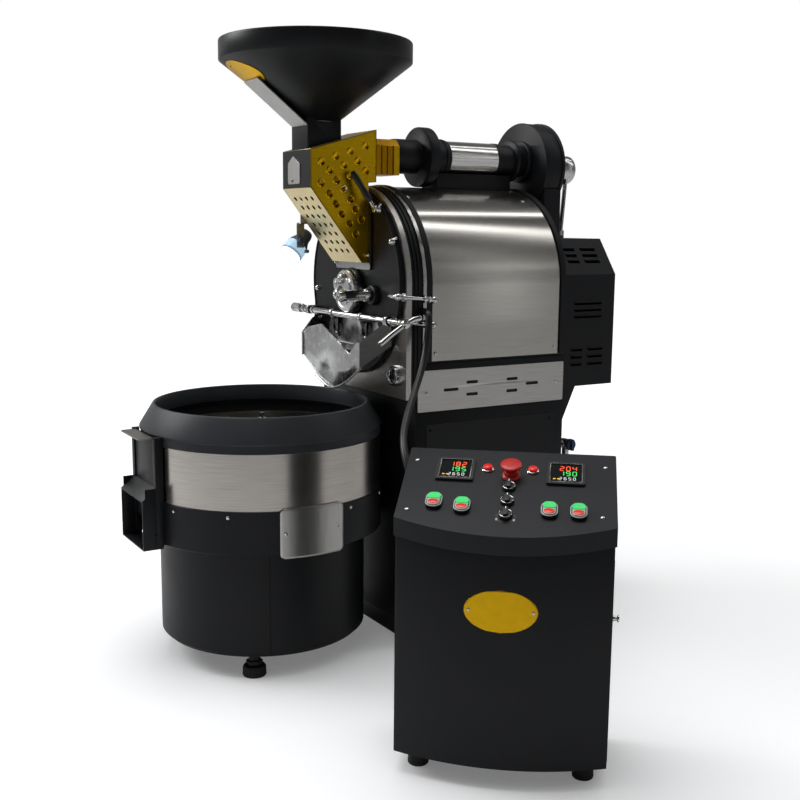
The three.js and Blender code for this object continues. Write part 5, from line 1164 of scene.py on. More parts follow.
def damper_lever():
    radius = 0.212
    turn = math.radians(56.16)
    x, z = radius * math.cos(turn), ARCH_Z + radius * math.sin(turn)
    start = Vector((x, PLATE_Y - 0.0115, z))
    way = Vector((-0.28, -0.45, 0.85)).normalized()
    boss = turned("lever_boss", [(0, GAP), (0.009, GAP), (0.009, 0.006), (0.007, 0.008), (0.0085, 0.0105),
        (0.0085, 0.0145), (0.006, 0.016), (0, 0.016)], (x, PLATE_Y, z), CHROME, FORWARD, 48)
    stem = [(0, 0)]
    for i in range(4):
        a = 0.004 + 0.004 * i
        stem += [(0.0038, a), (0.0045, a + 0.0008), (0.0045, a + 0.003), (0.0038, a + 0.0038)]
    stem += [(0, 0.0205)]
    screw_rod = turned("lever_rod", stem, start, CHROME, way, 32)
    grip = turned("lever_grip", mm((0, 20.2), (6.5, 20.2), (8.8, 24), (9.2, 31), (8.2, 40), (7.4, 55),
        (7.8, 75), (8, 88), (6.8, 95.5), (4, 99.5), (0, 100)), start, PLASTIC, way, 40)
    keep(merged("lever_metal", boss, screw_rod), "damper_lever", "raw_steel", "damper_lever")
    keep(grip, "damper_lever", "black_plastic")


# Gas tap behind the pedestal
def gas_tap():
    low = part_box("gas_valve")[0]
    x, z = 0.188, 0.449
    y = PLATE_Y + CASING_BACK + 0.0497
    stem = rod("gas_stem", (x, PLATE_Y + CASING_BACK, z), (x, y, z), 0.009, BRASS)
    body = rod("gas_body", (x - 0.013, y, z), (x + 0.013, y, z), 0.013, BRASS, 40, 0.002)
    tail = rod("gas_tail", (x, y, z), (x, y, low[2]), 0.009, BRASS)
    hexes = slab("gas_hex", circle(0.0125, (x, y), 6), "Z", (low[2] + 0.002, low[2] + 0.012), BRASS, 0.0008,
        limit=30)
    fixed(merged("gas_tap_body", stem, body, tail, hexes), "chrome", "gas_valve")
    start = x + 0.0133
    round_knob = turned("knob", mm((0, 0), (13.5, 0), (15, 2), (15, 10), (13.5, 12), (0, 12)), (start, y, z),
        BLUE, RIGHT, 48)
    fin = slab("knob_fin", rectangle(0.0075, 0.03, (y, z), 0.003), "X", (start + 0.008, start + 0.018), BLUE,
        0.0012)
    keep(merged("gas_knob_body", round_knob, fin), "gas_knob", "blue_plastic", "gas_valve_knob")


# Cooling bin
BIN_RADIUS = 0.284


def mouth_cutter():
    return box("mouth", (-0.0647, BIN_Y - 0.29, 0.3483), (0.0647, BIN_Y - 0.142, 0.428), BLACK)


def bin_point(angle, radius, z):
    turn = math.radians(angle)
    return Vector((BIN_X + radius * math.cos(turn), BIN_Y + radius * math.sin(turn), z))


def bin_way(angle):
    turn = math.radians(angle)
    return Vector((math.cos(turn), math.sin(turn), 0))


def bin_shells():
    at = (BIN_X, BIN_Y, 0)
    fixed(turned("base_shell", mm((0, 57), (240.5, 57), (243, 59.5), (243, 298.7), (240, 298.7), (240, 60),
        (0, 60)), at, BLACK, UP, 160), "black_paint", "bin_base")
    lower = turned("lower_shell", mm((231, 299), (282, 299), (284, 301), (284, 395), (283, 396), (281, 396),
        (281, 344.7), (269, 344.7), (269, 341.7), (281, 341.7), (281, 302), (231, 302)), at, BLACK, UP, 192)
    fixed(carved(lower, mouth_cutter()), "black_paint", "bin_lower_band")
    band = turned("band_shell", mm((278, 396.3), (281, 396.3), (281, 521), (278, 521)), at, STEEL_BAND, UP, 192)
    fixed(carved(band, mouth_cutter()), "brushed_steel", "bin_band")
    # The rim's black is lighter than the other blacks: a painted reflection of the floor.
    fixed(turned("rim_shell", mm((278, 521.3), (281.2, 521.3), (281.8, 522.5), (281.2, 524), (281.2, 539.5),
        (283.6, 541.5), (284.2, 544), (283.6, 546.2), (254, 594), (252.4, 596.2), (250, 597), (247.6, 596.2),
        (246.2, 594), (246, 560), (247, 547), (249, 545.5), (278, 543)), at, RIM_BLACK_PAINTED_REFLECTION, UP, 192),
        "black_paint", "bin_rim")
    fixed(turned("bin_lining", mm((245.5, 546), (246.2, 546), (246.5, 556), (246.2, 560), (241, 560.5),
        (240.5, 558), (241, 555.5), (245, 555)), at, BLACK_SATIN, UP, 160), "black_paint")


def bin_floor():
    holes = []
    for k in range(1, 17):
        radius = 0.028 + 0.0152 * k
        count = int(TAU * radius / 0.0165)
        for i in range(count):
            turn = TAU * (i + 0.5 * (k % 2)) / count
            holes.append(circle(0.0028, (BIN_X + radius * math.cos(turn), BIN_Y + radius * math.sin(turn)), 6))
    fixed(slab("floor_disc", circle(0.277, (BIN_X, BIN_Y), 128), "Z", (0.345, 0.348), RAW, 0,
        [circle(0.014, (BIN_X, BIN_Y), 32), *holes]), "raw_steel", "bin_floor")


def bin_stirrer():
    at = (BIN_X, BIN_Y, 0)
    hub_low = 0.35
    hub = turned("hub", [(0.012, hub_low), (0.0245, hub_low), (0.026, hub_low + 0.002),
        (0.026, hub_low + 0.06), (0.022, hub_low + 0.066), (0.012, hub_low + 0.066)], at, RAW, UP, 64)
    shaft = turned("stirrer_post", mm((0, 258), (12, 258), (12, 538), (10.5, 540), (0, 540)), at, RAW, UP, 48)
    tip = turned("stirrer_tip", mm((0, 539.5), (11.8, 539.5), (11.8, 545), (8.5, 547), (8.5, 551), (6, 553),
        (5, 565.5), (0, 566)), at, CHROME, UP, 48)
    cap = nut("stirrer_nut", (BIN_X, BIN_Y, 0.5468), UP, 0.018, 0.0075, CHROME)
    parts = [hub, shaft]
    for i in range(4):
        turn = math.radians(45 + 90 * i)
        reach = 0.258 * (0.72 if i % 2 else 1)
        place = Matrix.Translation((BIN_X, BIN_Y, 0)) @ Matrix.Rotation(turn, 4, "Z")
        arm = slab("arm_bar", rectangle(reach, 0.016, (reach / 2, 0), 0.0), "Z", (0.384, 0.394), RAW, 0.0022)
        parts.append(moved(arm, place))
        twist = math.radians(22.5 if i % 2 else -22.5)
        blade = slab("blade", rectangle(0.096, 0.004, (0, 0), 0.0), "Z", (hub_low, hub_low + 0.044), RAW,
            0.0014)
        moved(blade, Matrix.Translation((reach - 0.048, 0, 0)) @ Matrix.Rotation(twist, 4, "Z"))
        parts.append(moved(blade, place))
    keep(merged("stirrer_frame", *parts), "stirrer", "raw_steel", "stirrer")
    keep(merged("stirrer_head", tip, cap), "stirrer", "chrome")


def outlet_cutters(gate_y):
    """The bin's round wall and the gate's slot, to cut the duct and its rails with."""
    reach = BIN_RADIUS + GAP
    wall = turned("bin_round", [(0, 0.2), (reach, 0.2), (reach, 0.6), (0, 0.6)], (BIN_X, BIN_Y, 0), BLACK, UP,
        192)
    slot = box("gate_slot", (-0.0683, gate_y - 0.0033, 0.3444), (0.0683, gate_y + GAP, 0.597), BLACK)
    return wall, slot


def bin_outlet():
    front = BIN_Y - BIN_RADIUS
    gate_y = front - GAP
    y0 = BIN_Y - 0.32
    half = 0.077
    wall = 0.003
    rear_in = front + wall
    side = [(y0, 0.291), (rear_in + 0.012, 0.291), (rear_in + 0.012, 0.431), (gate_y - 0.0036, 0.431),
        (y0, 0.404)]
    shell = slab("duct_shell", side, "X", (-half, half), BLACK, 0.001)
    room_side = [(y0 - 0.01, 0.294), (rear_in + 0.05, 0.294), (rear_in + 0.05, 0.428),
        (gate_y - 0.0036, 0.428), (y0, 0.401), (y0 - 0.01, 0.3983)]
    room = slab("duct_room", room_side, "X", (-half + wall, half - wall), BLACK)
    duct = carved(shell, room, *outlet_cutters(gate_y))
    rails = []
    for s in (-1, 1):
        x0, x1 = sorted((s * 0.065, s * 0.081))
        rail = box("rail", (x0, gate_y - 0.006, 0.299), (x1, BIN_Y - BIN_RADIUS * 0.92, 0.5427), BLACK, 0.0008)
        rails.append(carved(rail, *outlet_cutters(gate_y)))
    fixed(merged("duct_body", duct, *rails), "black_paint", "outlet_duct")
    flange = []
    for s in (-1, 1):
        strip = box("flange_strip", (min(s * half, s * (half + 0.0022)), front - 0.03, 0.299),
            (max(s * half, s * (half + 0.0022)), front + 0.01, 0.43), BLACK, 0.0006)
        flange.append(strip)
        for z in (0.324, 0.386):
            flange.append(screw("duct_screw", (s * (half + 0.0022), front - 0.006, z), (s, 0, 0), 0.0042,
                BLACK_SATIN))
    fixed(merged("duct_flanges", *flange), "black_paint")
    plate = slab("gate_plate", [(-0.0677, 0.345), (0.0677, 0.345),
        *circle(0.005, (0.0627, 0.536), 6, 0, TAU / 4), *circle(0.005, (-0.0627, 0.536), 6, TAU / 4, TAU / 4)],
        "Y", (gate_y - 0.003, gate_y), BLACK, 0.0006)
    handle_outline = [(-0.0647, gate_y), (-0.0647, gate_y - 0.03),
        *circle(0.007, (-0.0577, gate_y - 0.03), 6, TAU / 2, TAU / 4),
        *circle(0.007, (0.0577, gate_y - 0.03), 6, 0.75 * TAU, TAU / 4), (0.0647, gate_y)]
    handle = slab("gate_handle", handle_outline, "Z", (0.538, 0.541), GATE_GREY, 0.0007)
    keep(merged("gate_and_handle", plate, handle), "bin_gate", "brushed_steel", "bin_gate")


def bin_details():
    """Service plate, seam, rivets and feet."""
    rows = []
    low, high = 0.29, 0.402
    for j in range(25):
        v = j / 24
        z = low + (high - low) * v
        edge = min(v, 1 - v) * (high - low)
        inset = 0.01 - math.sqrt(max(0, 0.01 ** 2 - max(0, 0.01 - edge) ** 2))
        trim = math.degrees(inset / BIN_RADIUS)
        row = []
        for i in range(33):
            angle = (-16.4 + trim) + (31.0 - 2 * trim) * i / 32
            row.append(bin_point(angle, BIN_RADIUS + 0.0014, z))
        rows.append(row)
    fixed(sheet_of("service_plate", rows, STEEL_PLATE, 0.0014, 1), "brushed_steel")
    for number, angle in enumerate((-14.0, 12.2)):
        at = bin_point(angle, BIN_RADIUS + 0.0014, 0.346)
        fixed(screw("service_screw_%d" % (number + 1), at, bin_way(angle), 0.0042, CHROME), "chrome")
    for number, angle in enumerate((-67, -39, 19.5, 50)):
        at = bin_point(angle, BIN_RADIUS, 0.383)
        fixed(dome("bin_rivet_%d" % (number + 1), at, bin_way(angle), 0.0042, 0.003, CHROME), "chrome")
    for number, angle in enumerate((-20.5, 160)):
        at = bin_point(angle, 0.243, 0.178)
        seam = box("seam", (-0.0007, -0.0006, 0.0605), (0.0007, 0.0007, 0.2975), SEAM_AND_SHADE_DARK, 0)
        turn = Matrix.Translation((at.x, at.y, 0)) @ Matrix.Rotation(math.radians(angle + 90), 4, "Z")
        fixed(moved(seam, turn), "black_paint")
    at = (BIN_X, BIN_Y, 0)
    foot_ring = turned("foot_ring", mm((189, 50), (233, 50), (233, 56.7), (189, 56.7)), at, RUBBER, UP, 128)
    feet = []
    for i in range(3):
        spot = bin_point(-30 + 120 * i, 0.211, 0)
        feet.append(turned("foot", mm((0, 0), (25.5, 0), (27, 2.5), (26.2, 20), (24, 23.5), (13, 25), (12, 27),
            (12, 50.5), (0, 50.5)), spot, RUBBER, UP, 48))
        feet.append(turned("foot_nut", mm((11.5, 27), (19, 27), (19, 35), (11.5, 35.5)), spot, RUBBER, UP, 6))
    fixed(merged("bin_feet", foot_ring, *feet), "rubber", "bin_foot_ring")


# Control cabinet, in its own frame: u across, v from front to back, and the console's slope
CABINET_WIDTH = 0.396
CABINET_DEPTH = 0.2105
CABINET_FRONT = 0.4895
CABINET_REAR = 0.574
SLOPE = math.atan2(CABINET_REAR - CABINET_FRONT, CABINET_DEPTH)
SLOPE_LENGTH = math.hypot(CABINET_REAR - CABINET_FRONT, CABINET_DEPTH)
CABINET = Matrix.Translation((0.7195, -0.5678, 0)) @ Matrix.Rotation(math.radians(49.65), 4, "Z")
SLOPE_PLACE = Matrix.Translation((0, CABINET_DEPTH, CABINET_REAR)) @ Matrix.Rotation(SLOPE, 4, "X")
CONSOLE = CABINET @ SLOPE_PLACE
CASE_INSET = 0.003
BULGE = 0.039
TWINS = ((0.169, 0.785), (0.301, 0.829), (0.697, 0.838), (0.828, 0.842))


def cabinet_outline(inset):
    width, depth, radius, steps = CABINET_WIDTH, CABINET_DEPTH, 0.004, 48
    points = [*circle(radius, (width - inset - radius, depth - inset - radius), 5, 0, TAU / 4),
        *circle(radius, (inset + radius, depth - inset - radius), 5, TAU / 4, TAU / 4)]
    for i in range(steps + 1):
        share = 2 * i / steps - 1
        points.append((inset + (width - 2 * inset) * i / steps, inset - BULGE * (1 - share * share)))
    return points


def slope_to(piece, drop, above):
    """Every point higher than a level goes to the console's slope, this far under it."""
    for vertex in piece.data.vertices:
        if vertex.co.z > above:
            vertex.co.z = CABINET_FRONT - drop + math.tan(SLOPE) * vertex.co.y
    return piece


def front_of(u):
    """The v of the cabinet's curved front at a place across it."""
    share = 2 * (u - CASE_INSET) / (CABINET_WIDTH - 2 * CASE_INSET) - 1
    return CASE_INSET - BULGE * (1 - share * share)


def cabinet_case():
    body = slab("case", cabinet_outline(CASE_INSET), "Z", (0.04, 0.3), BLACK, 0.0012)
    slope_to(body, 0.0343, 0.2)
    gland = turned("gland", mm((0, -1), (17, -1), (17, 6), (14, 7.5), (14, 18), (8.5, 18.5), (8.5, 4), (0, 4)),
        (0.026, CABINET_DEPTH - 0.003, 0.4), PLASTIC, BACK, 48)
    fixed(moved(merged("cabinet_case", body, gland), CABINET), "black_paint", "cabinet_body")
    oval = []
    centre_u, centre_z, half_u, half_z = 0.198, 0.337, 0.0655, 0.039
    for j in range(25):
        t = -1 + 2 * j / 24
        reach = half_u * math.sqrt(max(0.0, 1 - t * t)) + 0.0001
        row = []
        for i in range(33):
            u = centre_u + reach * (-1 + 2 * i / 32)
            row.append((u, front_of(u) - 0.0004, centre_z + half_z * t))
        oval.append(row)
    fixed(moved(sheet_of("oval_plate", oval, GOLD_PLATE, 0.001, 0), CABINET), "gold_steel")
    for number, u in enumerate((0.1405, 0.2555)):
        fixed(moved(screw("oval_screw_%d" % (number + 1), (u, front_of(u) - 0.0009, centre_z), FORWARD, 0.003,
            CHROME), CABINET), "chrome")
    side = CABINET_WIDTH - CASE_INSET
    fixed(moved(turned("lock", [(0, -SEAT), (0.0062, -SEAT), (0.0062, 0.002), (0.0045, 0.003),
        (0.0045, 0.0085), (0.0068, 0.0095), (0.0068, 0.012), (0.003, 0.0125), (0, 0.0115)],
        (side, 0.0185, 0.319), CHROME, RIGHT, 32), CABINET), "chrome")
    fixed(moved(screw("side_screw", (side, 0.076, 0.086), RIGHT, 0.0032, CHROME), CABINET), "chrome")
    fixed(moved(box("door_seam", (side - 0.0004, 0.004, 0.052), (side + 0.0005, 0.0052, 0.43), SEAM_AND_SHADE_DARK, 0),
        CABINET), "black_paint")


def cabinet_feet():
    top, inset, radius = 0.0397, 0.044, 0.02
    parts = [box("foot_plate", (inset - radius, inset - radius, top - 0.004),
        (CABINET_WIDTH - inset + radius, CABINET_DEPTH - inset + radius, top), RUBBER, 0.0008)]
    for u in (inset, CABINET_WIDTH - inset):
        for v in (inset, CABINET_DEPTH - inset):
            parts.append(turned("pad", mm((0, 0), (18, 0), (19.7, 2), (20, 5), (18.6, 32), (18, 36.5),
                (0, 36.5)), (u, v, 0), RUBBER, UP, 48))
    fixed(moved(merged("cabinet_pads", *parts), CABINET), "rubber", "cabinet_feet")


SEGMENTS = {"a": (0, 1, 1), "b": (1, 0.5, 0), "c": (1, -0.5, 0), "d": (0, -1, 1), "e": (-1, -0.5, 0),
    "f": (-1, 0.5, 0), "g": (0, 0, 1)}
DIGITS = {"0": "abcdef", "1": "bc", "2": "abged", "5": "afgcd", "8": "abcdefg", "9": "abcfgd", "4": "fgbc",
    "6": "afgedc"}


def digits(name, text, at, height, pitch, colour):
    """Seven-segment figures standing just above the glass of a meter."""
    parts = []
    w, h, bar = height * 0.26, height / 2, height * 0.13
    for i, figure in enumerate(text):
        for key in DIGITS[figure]:
            a, b, flat = SEGMENTS[key]
            cx, cy = at[0] + i * pitch + a * w, at[1] + b * h
            size = (2 * w - bar * 0.6, bar) if flat else (bar, h - bar * 0.6)
            parts.append(slab("segment", rectangle(*size, (cx, cy), bar * 0.3, 2), "Z",
                (at[2], at[2] + 0.0002), colour))
    return merged(name, *parts)


def meters():
    size, proud = 0.072, 0.005
    for number, (share, rows) in enumerate(((0.149, (("182", DIGIT_RED), ("195", DIGIT_GREEN))),
            (0.674, (("204", DIGIT_RED), ("190", DIGIT_GREEN))))):
        u = CABINET_WIDTH * share
        v = SLOPE_LENGTH * 0.154
        centre = (u + size / 2, -v - size / 2)
        window = rectangle(0.058, 0.058, centre, 0.002, 4)
        fixed(moved(slab("bezel", rectangle(size, size, centre, 0.004, 5), "Z", (-GAP, proud), METER_RIM,
            0.0012, [window]), CONSOLE), "black_paint")
        fixed(moved(slab("bezel_line", rectangle(0.0605, 0.0605, centre, 0.0025, 4), "Z",
            (proud - 0.0002, proud + 0.0003), CHROME_SOFT, 0, [rectangle(0.0585, 0.0585, centre, 0.002, 4)]),
            CONSOLE), "chrome")
        fixed(moved(slab("meter_glass", window, "Z", (-GAP, proud - 0.0012), METER_GLASS), CONSOLE),
            "black_paint")
        top = proud - 0.0012
        for row, (text, colour) in enumerate(rows):
            left = centre[0] - 0.008
            fixed(moved(digits("meter_%d_row_%d" % (number + 1, row + 1), text,
                (left, centre[1] + 0.0145 - 0.0165 * row, top), 0.013, 0.0118, colour), CONSOLE), "red_plastic")
        fixed(moved(digits("meter_%d_small" % (number + 1), "2650",
            (centre[0] - 0.01, centre[1] - 0.0185, top), 0.008, 0.0085, DIGIT_WHITE), CONSOLE), "black_plastic")
        marks = [slab("mark", rectangle(0.005, 0.0028, (centre[0] - 0.0215 + 0.0075 * k, centre[1] - 0.0195),
            0.001, 3), "Z", (top, top + 0.0002), DIGIT_AMBER) for k in range(2)]
        fixed(moved(merged("meter_%d_marks" % (number + 1), *marks), CONSOLE), "black_plastic")


def console():
    pockets = []
    cap = slab("cap", cabinet_outline(0.0), "Z", (0.3, 0.4), CONSOLE_BLACK, 0.0011)
    for vertex in cap.data.vertices:
        drop = 0 if vertex.co.z > 0.35 else 0.034
        vertex.co.z = CABINET_FRONT - drop + math.tan(SLOPE) * vertex.co.y
    stop_at = (0.508 * CABINET_WIDTH, -0.362 * SLOPE_LENGTH)
    hole = slab("stop_hole", circle(0.0113, stop_at, 40), "Z", (-0.0063, 0.01), CONSOLE_BLACK)
    pockets.append(moved(hole, SLOPE_PLACE))
    places = [(CABINET_WIDTH * a, SLOPE_LENGTH * b) for a, b in TWINS]
    for u, v in places:
        room = slab("twin_room", rectangle(0.0236, 0.0366, (u, -v)), "Z", (-GAP, 0.01), CONSOLE_BLACK)
        pockets.append(moved(room, SLOPE_PLACE))
    cap = carved(cap, *pockets)
    fixed(moved(cap, CABINET), "black_paint", "console_panel")
    for number, (u, v) in enumerate(places):
        holes = [rectangle(0.0236, 0.0176, (u, -v + s * 0.0095), 0.0015, 3) for s in (-1, 1)]
        housing = slab("housing", rectangle(0.03, 0.042, (u, -v), 0.0135, 8), "Z", (-GAP, 0.007), PLASTIC,
            0.0012, holes)
        flare = slab("housing_lip", rectangle(0.03, 0.042, (u, -v), 0.0135, 8), "Z", (0.0064, 0.0076),
            TWIN_EDGE, 0.0005, [rectangle(0.0262, 0.0382, (u, -v), 0.0118, 8)])
        fixed(moved(merged("twin_housing_%d" % (number + 1), housing, flare), CONSOLE), "black_paint")
    for number, share in enumerate((0.394, 0.609)):
        u, v = CABINET_WIDTH * share, SLOPE_LENGTH * 0.282
        collar = turned("pilot_collar", mm((0, -0.3), (12, -0.3), (12, 1.8), (10.8, 3), (8.5, 3.4), (0, 3.4)),
            (u, -v, 0), CHROME, UP, 40)
        bulb = turned("pilot_bulb", mm((0, 3.4), (6.6, 3.4), (9, 4.8), (9.2, 6.6), (7.2, 8.4), (4, 9), (0, 9)),
            (u, -v, 0), PILOT, UP, 40)
        fixed(moved(merged("pilot_%d" % (number + 1), collar, bulb), CONSOLE), "red_plastic")
    for number, (u, v) in enumerate(((0.0184, 0.043), (0.0207, 0.202), (0.37, 0.199), (0.376, 0.043))):
        fixed(moved(dome("console_screw_%d" % (number + 1), (u, -v, 0), UP, 0.0042, 0.0026, CHROME), CONSOLE),
            "chrome")
    plate_u, plate_v = 0.503 * CABINET_WIDTH, 0.917 * SLOPE_LENGTH
    plate = slab("selector_plate", rectangle(0.038, 0.022, (plate_u, -plate_v - 0.006), 0.002, 4), "Z",
        (-0.0001, 0.0002), PLASTIC)
    ticks = [slab("tick", rectangle(0.0034, 0.0012, (plate_u + s * 0.0155, -plate_v - 0.0095 - 0.003 * k),
        0.0004, 2), "Z", (0.0001, 0.0003), DIGIT_WHITE) for s in (-1, 1) for k in range(2)]
    fixed(moved(merged("selector_base", plate, *ticks), CONSOLE), "black_plastic")


def button_caps():
    for number, (a, b) in enumerate(TWINS):
        u, v = CABINET_WIDTH * a, SLOPE_LENGTH * b
        r, half, tall = 0.0085, 0.0115, 0.018
        arch_cap = [(u - half, -v + 0.001), (u + half, -v + 0.001),
            *circle(r, (u + half - r, -v + tall - r), 8, 0, TAU / 4),
            *circle(r, (u - half + r, -v + tall - r), 8, TAU / 4, TAU / 4)]
        keep(moved(slab("green_cap", arch_cap, "Z", (0.003, 0.011), GREEN_LIT, 0.0012), CONSOLE),
            "start_cap_%d" % (number + 1), "green_plastic", "start_cap_%d" % (number + 1))
        low = [(u + half, -v - 0.001), (u - half, -v - 0.001),
            *circle(r, (u - half + r, -v - tall + r), 8, TAU / 2, TAU / 4),
            *circle(r, (u + half - r, -v - tall + r), 8, 0.75 * TAU, TAU / 4)]
        body = slab("red_cap", low, "Z", (0.003, 0.0102), TWIN_EDGE, 0.0012)
        oval = [(u + 0.0098 * c, -v - 0.0095 + 0.0068 * s) for c, s in circle(1, steps=32)]
        button = slab("red_oval", oval, "Z", (0.009, 0.011), RED_LIT, 0.0008)
        keep(moved(merged("red_button_%d" % (number + 1), body, button), CONSOLE),
            "stop_cap_%d" % (number + 1), "red_plastic", "stop_cap_%d" % (number + 1))


def stop_and_selectors():
    u, v = 0.508 * CABINET_WIDTH, 0.362 * SLOPE_LENGTH
    head = turned("stop_head", mm((0, -2), (10.5, -2), (11, -1), (11, 12), (12.5, 15), (16.5, 19),
        (19.6, 22.2), (20, 24), (19.8, 26.2), (18, 27.4), (11, 27.8), (0, 28)), (u, -v, 0), RED, UP, 72)
    grooves = [ring("stop_groove", (u, -v, 0.0076 + 0.003 * k), UP, 0.011, 0.0008, RED, 48, 8)
        for k in range(2)]
    keep(moved(merged("stop_mushroom", head, *grooves), CONSOLE), "stop_button", "red_plastic", "stop_button")
    fixed(moved(turned("stop_collar", mm((12.6, -0.2), (17, -0.2), (17.3, 1), (15.5, 4), (13.5, 5.2),
        (12.6, 5)), (u, -v, 0), RED, UP, 56), CONSOLE), "red_plastic")
    for number, share in enumerate((0.538, 0.732, 0.917)):
        u, v = 0.503 * CABINET_WIDTH, SLOPE_LENGTH * share
        base = turned("selector_base_ring", [(0, GAP), (0.013, GAP), (0.013, 0.005), (0.0122, 0.0068),
            (0.01, 0.007), (0, 0.007)], (u, -v, 0), PLASTIC, UP, 48)
        band = ring("selector_band", (u, -v, 0.0069), UP, 0.0113, 0.0008, CHROME, 56, 8)
        fin = slab("selector_fin", rectangle(0.009, 0.0234, (u, -v), 0.004, 6), "Z", (0.006, 0.014), PLASTIC,
            0.0016)
        mark = slab("selector_mark", rectangle(0.0012, 0.006, (u, -v + 0.007), 0.0004, 2), "Z",
            (0.0138, 0.0142), DIGIT_WHITE)
        name = "selector_%d" % (number + 1)
        keep(moved(merged(name + "_knob", base, band, fin, mark), CONSOLE), name, "black_plastic", name)


# Trim plate and pedestal
def trim():
    x0, thickness = 0.2333, 0.002
    low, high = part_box("trim_plate")
    length, mid = high[1] - low[1], (high[2] + low[2]) / 2
    shares = ((0.215, 0, 0.098), (0.355, 1, 0.078), (0.355, -1, 0.078), (0.63, 1, 0.078), (0.63, -1, 0.078),
        (0.772, 0, 0.088))
    slots = [rectangle(length * part, 0.0075, (low[1] + length * at, mid + row * 0.0145), 0.0036, 6)
        for at, row, part in shares]
    outline = rectangle(length, high[2] - low[2], ((low[1] + high[1]) / 2, mid), 0.003, 4)
    fixed(slab("trim_sheet", outline, "X", (x0, x0 + thickness), STEEL_TRIM, 0.0005, slots), "brushed_steel",
        "trim_plate")
    for number, (y, z) in enumerate(((0.063, 0.62), (0.446, 0.6245))):
        fixed(screw("trim_screw_%d" % (number + 1), (x0 + thickness, PLATE_Y + y, z), RIGHT, 0.0042, CHROME),
            "chrome")


def pedestal():
    low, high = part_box("pedestal")
    half = high[0]
    upper = box("pedestal_upper", (-half, low[1], 0.048), (half, high[1], high[2]), BLACK, 0.0018)
    lower = box("pedestal_plinth", (-half + 0.012, low[1] + 0.012, 0), (half - 0.012, high[1] - 0.012, 0.0485),
        BLACK, 0.001)
    fixed(merged("pedestal_body", upper, lower), "black_paint", "pedestal")
    fixed(box("pedestal_panel", (half - 0.0004, low[1] + 0.03, 0.09), (half + 0.0014, high[1] - 0.03, 0.545),
        BLACK, 0.0006), "black_paint")
    for number, (y, z) in enumerate(((low[1] + 0.042, 0.105), (low[1] + 0.042, 0.53), (high[1] - 0.042, 0.105),
            (high[1] - 0.042, 0.53))):
        fixed(screw("panel_screw_%d" % (number + 1), (half + 0.0014, y, z), RIGHT, 0.004, BLACK_SATIN),
            "black_paint")


round_plate()
face_plate()
casing()
tie_studs()
bearing()
trier()
discharge()
scoop()
chute()
hopper()
hopper_blade()
hopper_oval()
exhaust()
blower()
rear_cover_lips()
work_lamp()
damper_lever()
gas_tap()
bin_shells()
bin_floor()
bin_stirrer()
bin_outlet()
bin_details()
cabinet_case()
cabinet_feet()
meters()
console()
button_caps()
stop_and_selectors()
trim()
pedestal()


# Floor, light and background
def stage():
    m = Nodes("floor_white")
    cloud = m.noise(2)
    m.wire(m.tint(cloud, (0.78, 0.785, 0.8), (0.81, 0.815, 0.825)), m.shader.inputs["Base Color"])
    m.shader.inputs["Roughness"].default_value = 0.6
    m.shader.inputs["Specular IOR Level"].default_value = 0.2
    distance = m.add("ShaderNodeVectorMath", operation="LENGTH")
    m.wire(m.position(), distance.inputs[0])
    paler = m.spread(distance.outputs["Value"], 0.5, 0.93, 1.0, 3.4)
    # Ambient occlusion dims the floor's glow next to the object: a painted contact shadow.
    near = m.add("ShaderNodeAmbientOcclusion", samples=8)
    near.inputs["Distance"].default_value = 0.45
    path = m.add("ShaderNodeLightPath")
    faintly = m.combine("MULTIPLY", path.outputs["Is Glossy Ray"], 0.16)
    looked_at = m.combine("MAXIMUM", path.outputs["Is Camera Ray"], faintly)
    lit = m.combine("MULTIPLY", paler, looked_at)
    shaded = m.combine("MULTIPLY", lit, m.spread(near.outputs["AO"], 0.34, 1.0, 0.28, 1.0))
    m.shader.inputs["Emission Color"].default_value = (0.99, 0.995, 1.0, 1)
    m.wire(shaded, m.shader.inputs["Emission Strength"])
    mesh = bpy.data.meshes.new("floor")
    reach = 30
    mesh.from_pydata([(-reach, -reach, 0), (reach, -reach, 0), (reach, reach, 0), (-reach, reach, 0)], [],
        [(0, 1, 2, 3)])
    mesh.materials.append(m.material)
    floor = linked("floor", mesh)


def lamp(name, at, aim, size, power):
    data = bpy.data.lights.new(name, "AREA")
    data.shape = "RECTANGLE"
    data.size, data.size_y = size
    data.energy = power
    light = linked(name, data)
    light.location = at
    light.rotation_euler = (Vector(aim) - Vector(at)).to_track_quat("-Z", "Y").to_euler()


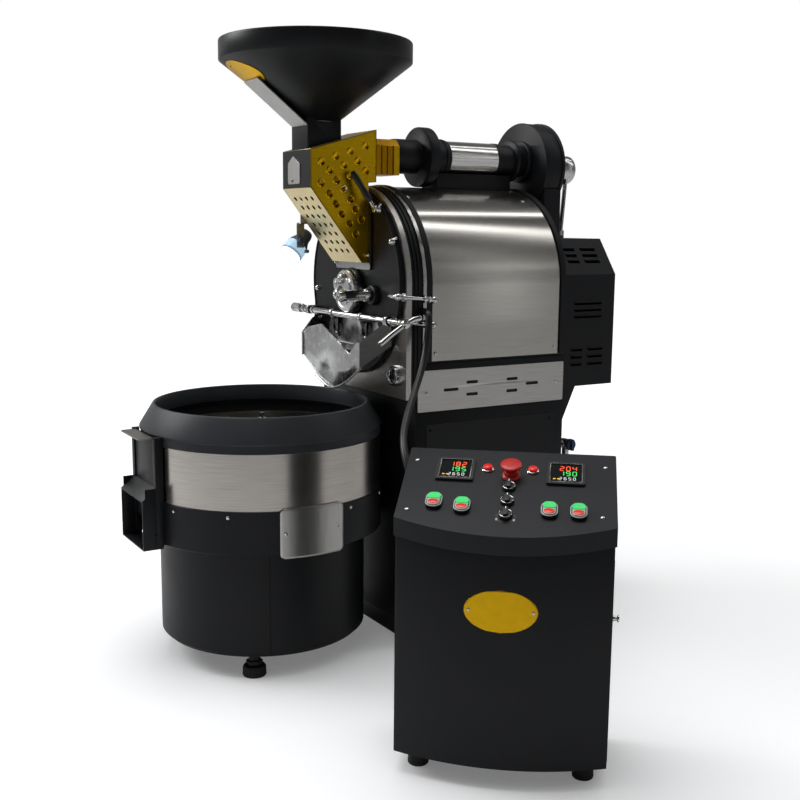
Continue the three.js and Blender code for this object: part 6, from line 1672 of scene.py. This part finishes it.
def world():
    scene_world = bpy.data.worlds.new("studio")
    scene_world.use_nodes = True
    tree = scene_world.node_tree
    tree.nodes.clear()

    def add(kind):
        return tree.nodes.new(kind)

    def plain(strength):
        node = add("ShaderNodeBackground")
        node.inputs["Color"].default_value = (1, 1, 1, 1)
        node.inputs["Strength"].default_value = strength
        return node

    def mixed(factor, first, second):
        node = add("ShaderNodeMixShader")
        tree.links.new(factor, node.inputs[0])
        tree.links.new(first.outputs[0], node.inputs[1])
        tree.links.new(second.outputs[0], node.inputs[2])
        return node

    def ranged(source, *limits):
        node = add("ShaderNodeMapRange")
        tree.links.new(source, node.inputs["Value"])
        for name, value in zip(("From Min", "From Max", "To Min", "To Max"), limits):
            node.inputs[name].default_value = value
        return node.outputs[0]

    path, place, split = add("ShaderNodeLightPath"), add("ShaderNodeTexCoord"), add("ShaderNodeSeparateXYZ")
    tree.links.new(place.outputs["Generated"], split.inputs[0])
    patches = add("ShaderNodeTexNoise")
    patches.inputs["Scale"].default_value = 2.2
    tree.links.new(place.outputs["Generated"], patches.inputs["Vector"])
    strength = ranged(split.outputs["Z"], 0.05, 0.6, 0.75, 0.25)
    side = ranged(split.outputs["X"], -0.9, 0.7, 0.62, 0.2)
    contrast = ranged(patches.outputs[0], 0.35, 0.65, 0.45, 1.35)
    for other in (side, contrast):
        product = add("ShaderNodeMath")
        product.operation = "MULTIPLY"
        tree.links.new(strength, product.inputs[0])
        tree.links.new(other, product.inputs[1])
        strength = product.outputs[0]
    mirrored = plain(1)
    tree.links.new(strength, mirrored.inputs["Strength"])
    softly = mixed(path.outputs["Is Glossy Ray"], plain(0.17), mirrored)
    whole = mixed(path.outputs["Is Camera Ray"], softly, plain(1))
    output = add("ShaderNodeOutputWorld")
    tree.links.new(whole.outputs[0], output.inputs[0])
    bpy.context.scene.world = scene_world


stage()
world()
lamp("key", (-2.2, -2.8, 2.8), (0, -0.3, 0.7), (1.8, 1.8), 78)
lamp("top", (-0.2, -0.7, 4.2), (0.2, -0.3, 0.8), (2.6, 2.6), 76)
lamp("band_broad", (0.98, 1.55, 3.0), (0.1, 0, 1.0), (0.26, 1.8), 5)
lamp("band_narrow", (0.05, 1.35, 3.0), (0.1, 0, 1.0), (0.14, 1.0), 1.8)
lamp("line_high", (3.7, 2.9, 3.0), (0.2, 0, 1.0), (0.16, 2.4), 2.2)
lamp("line_low", (4.25, 3.0, 1.5), (0.2, 0, 1.0), (0.12, 2.4), 1.8)

bpy.context.scene.view_settings.view_transform = "Standard"
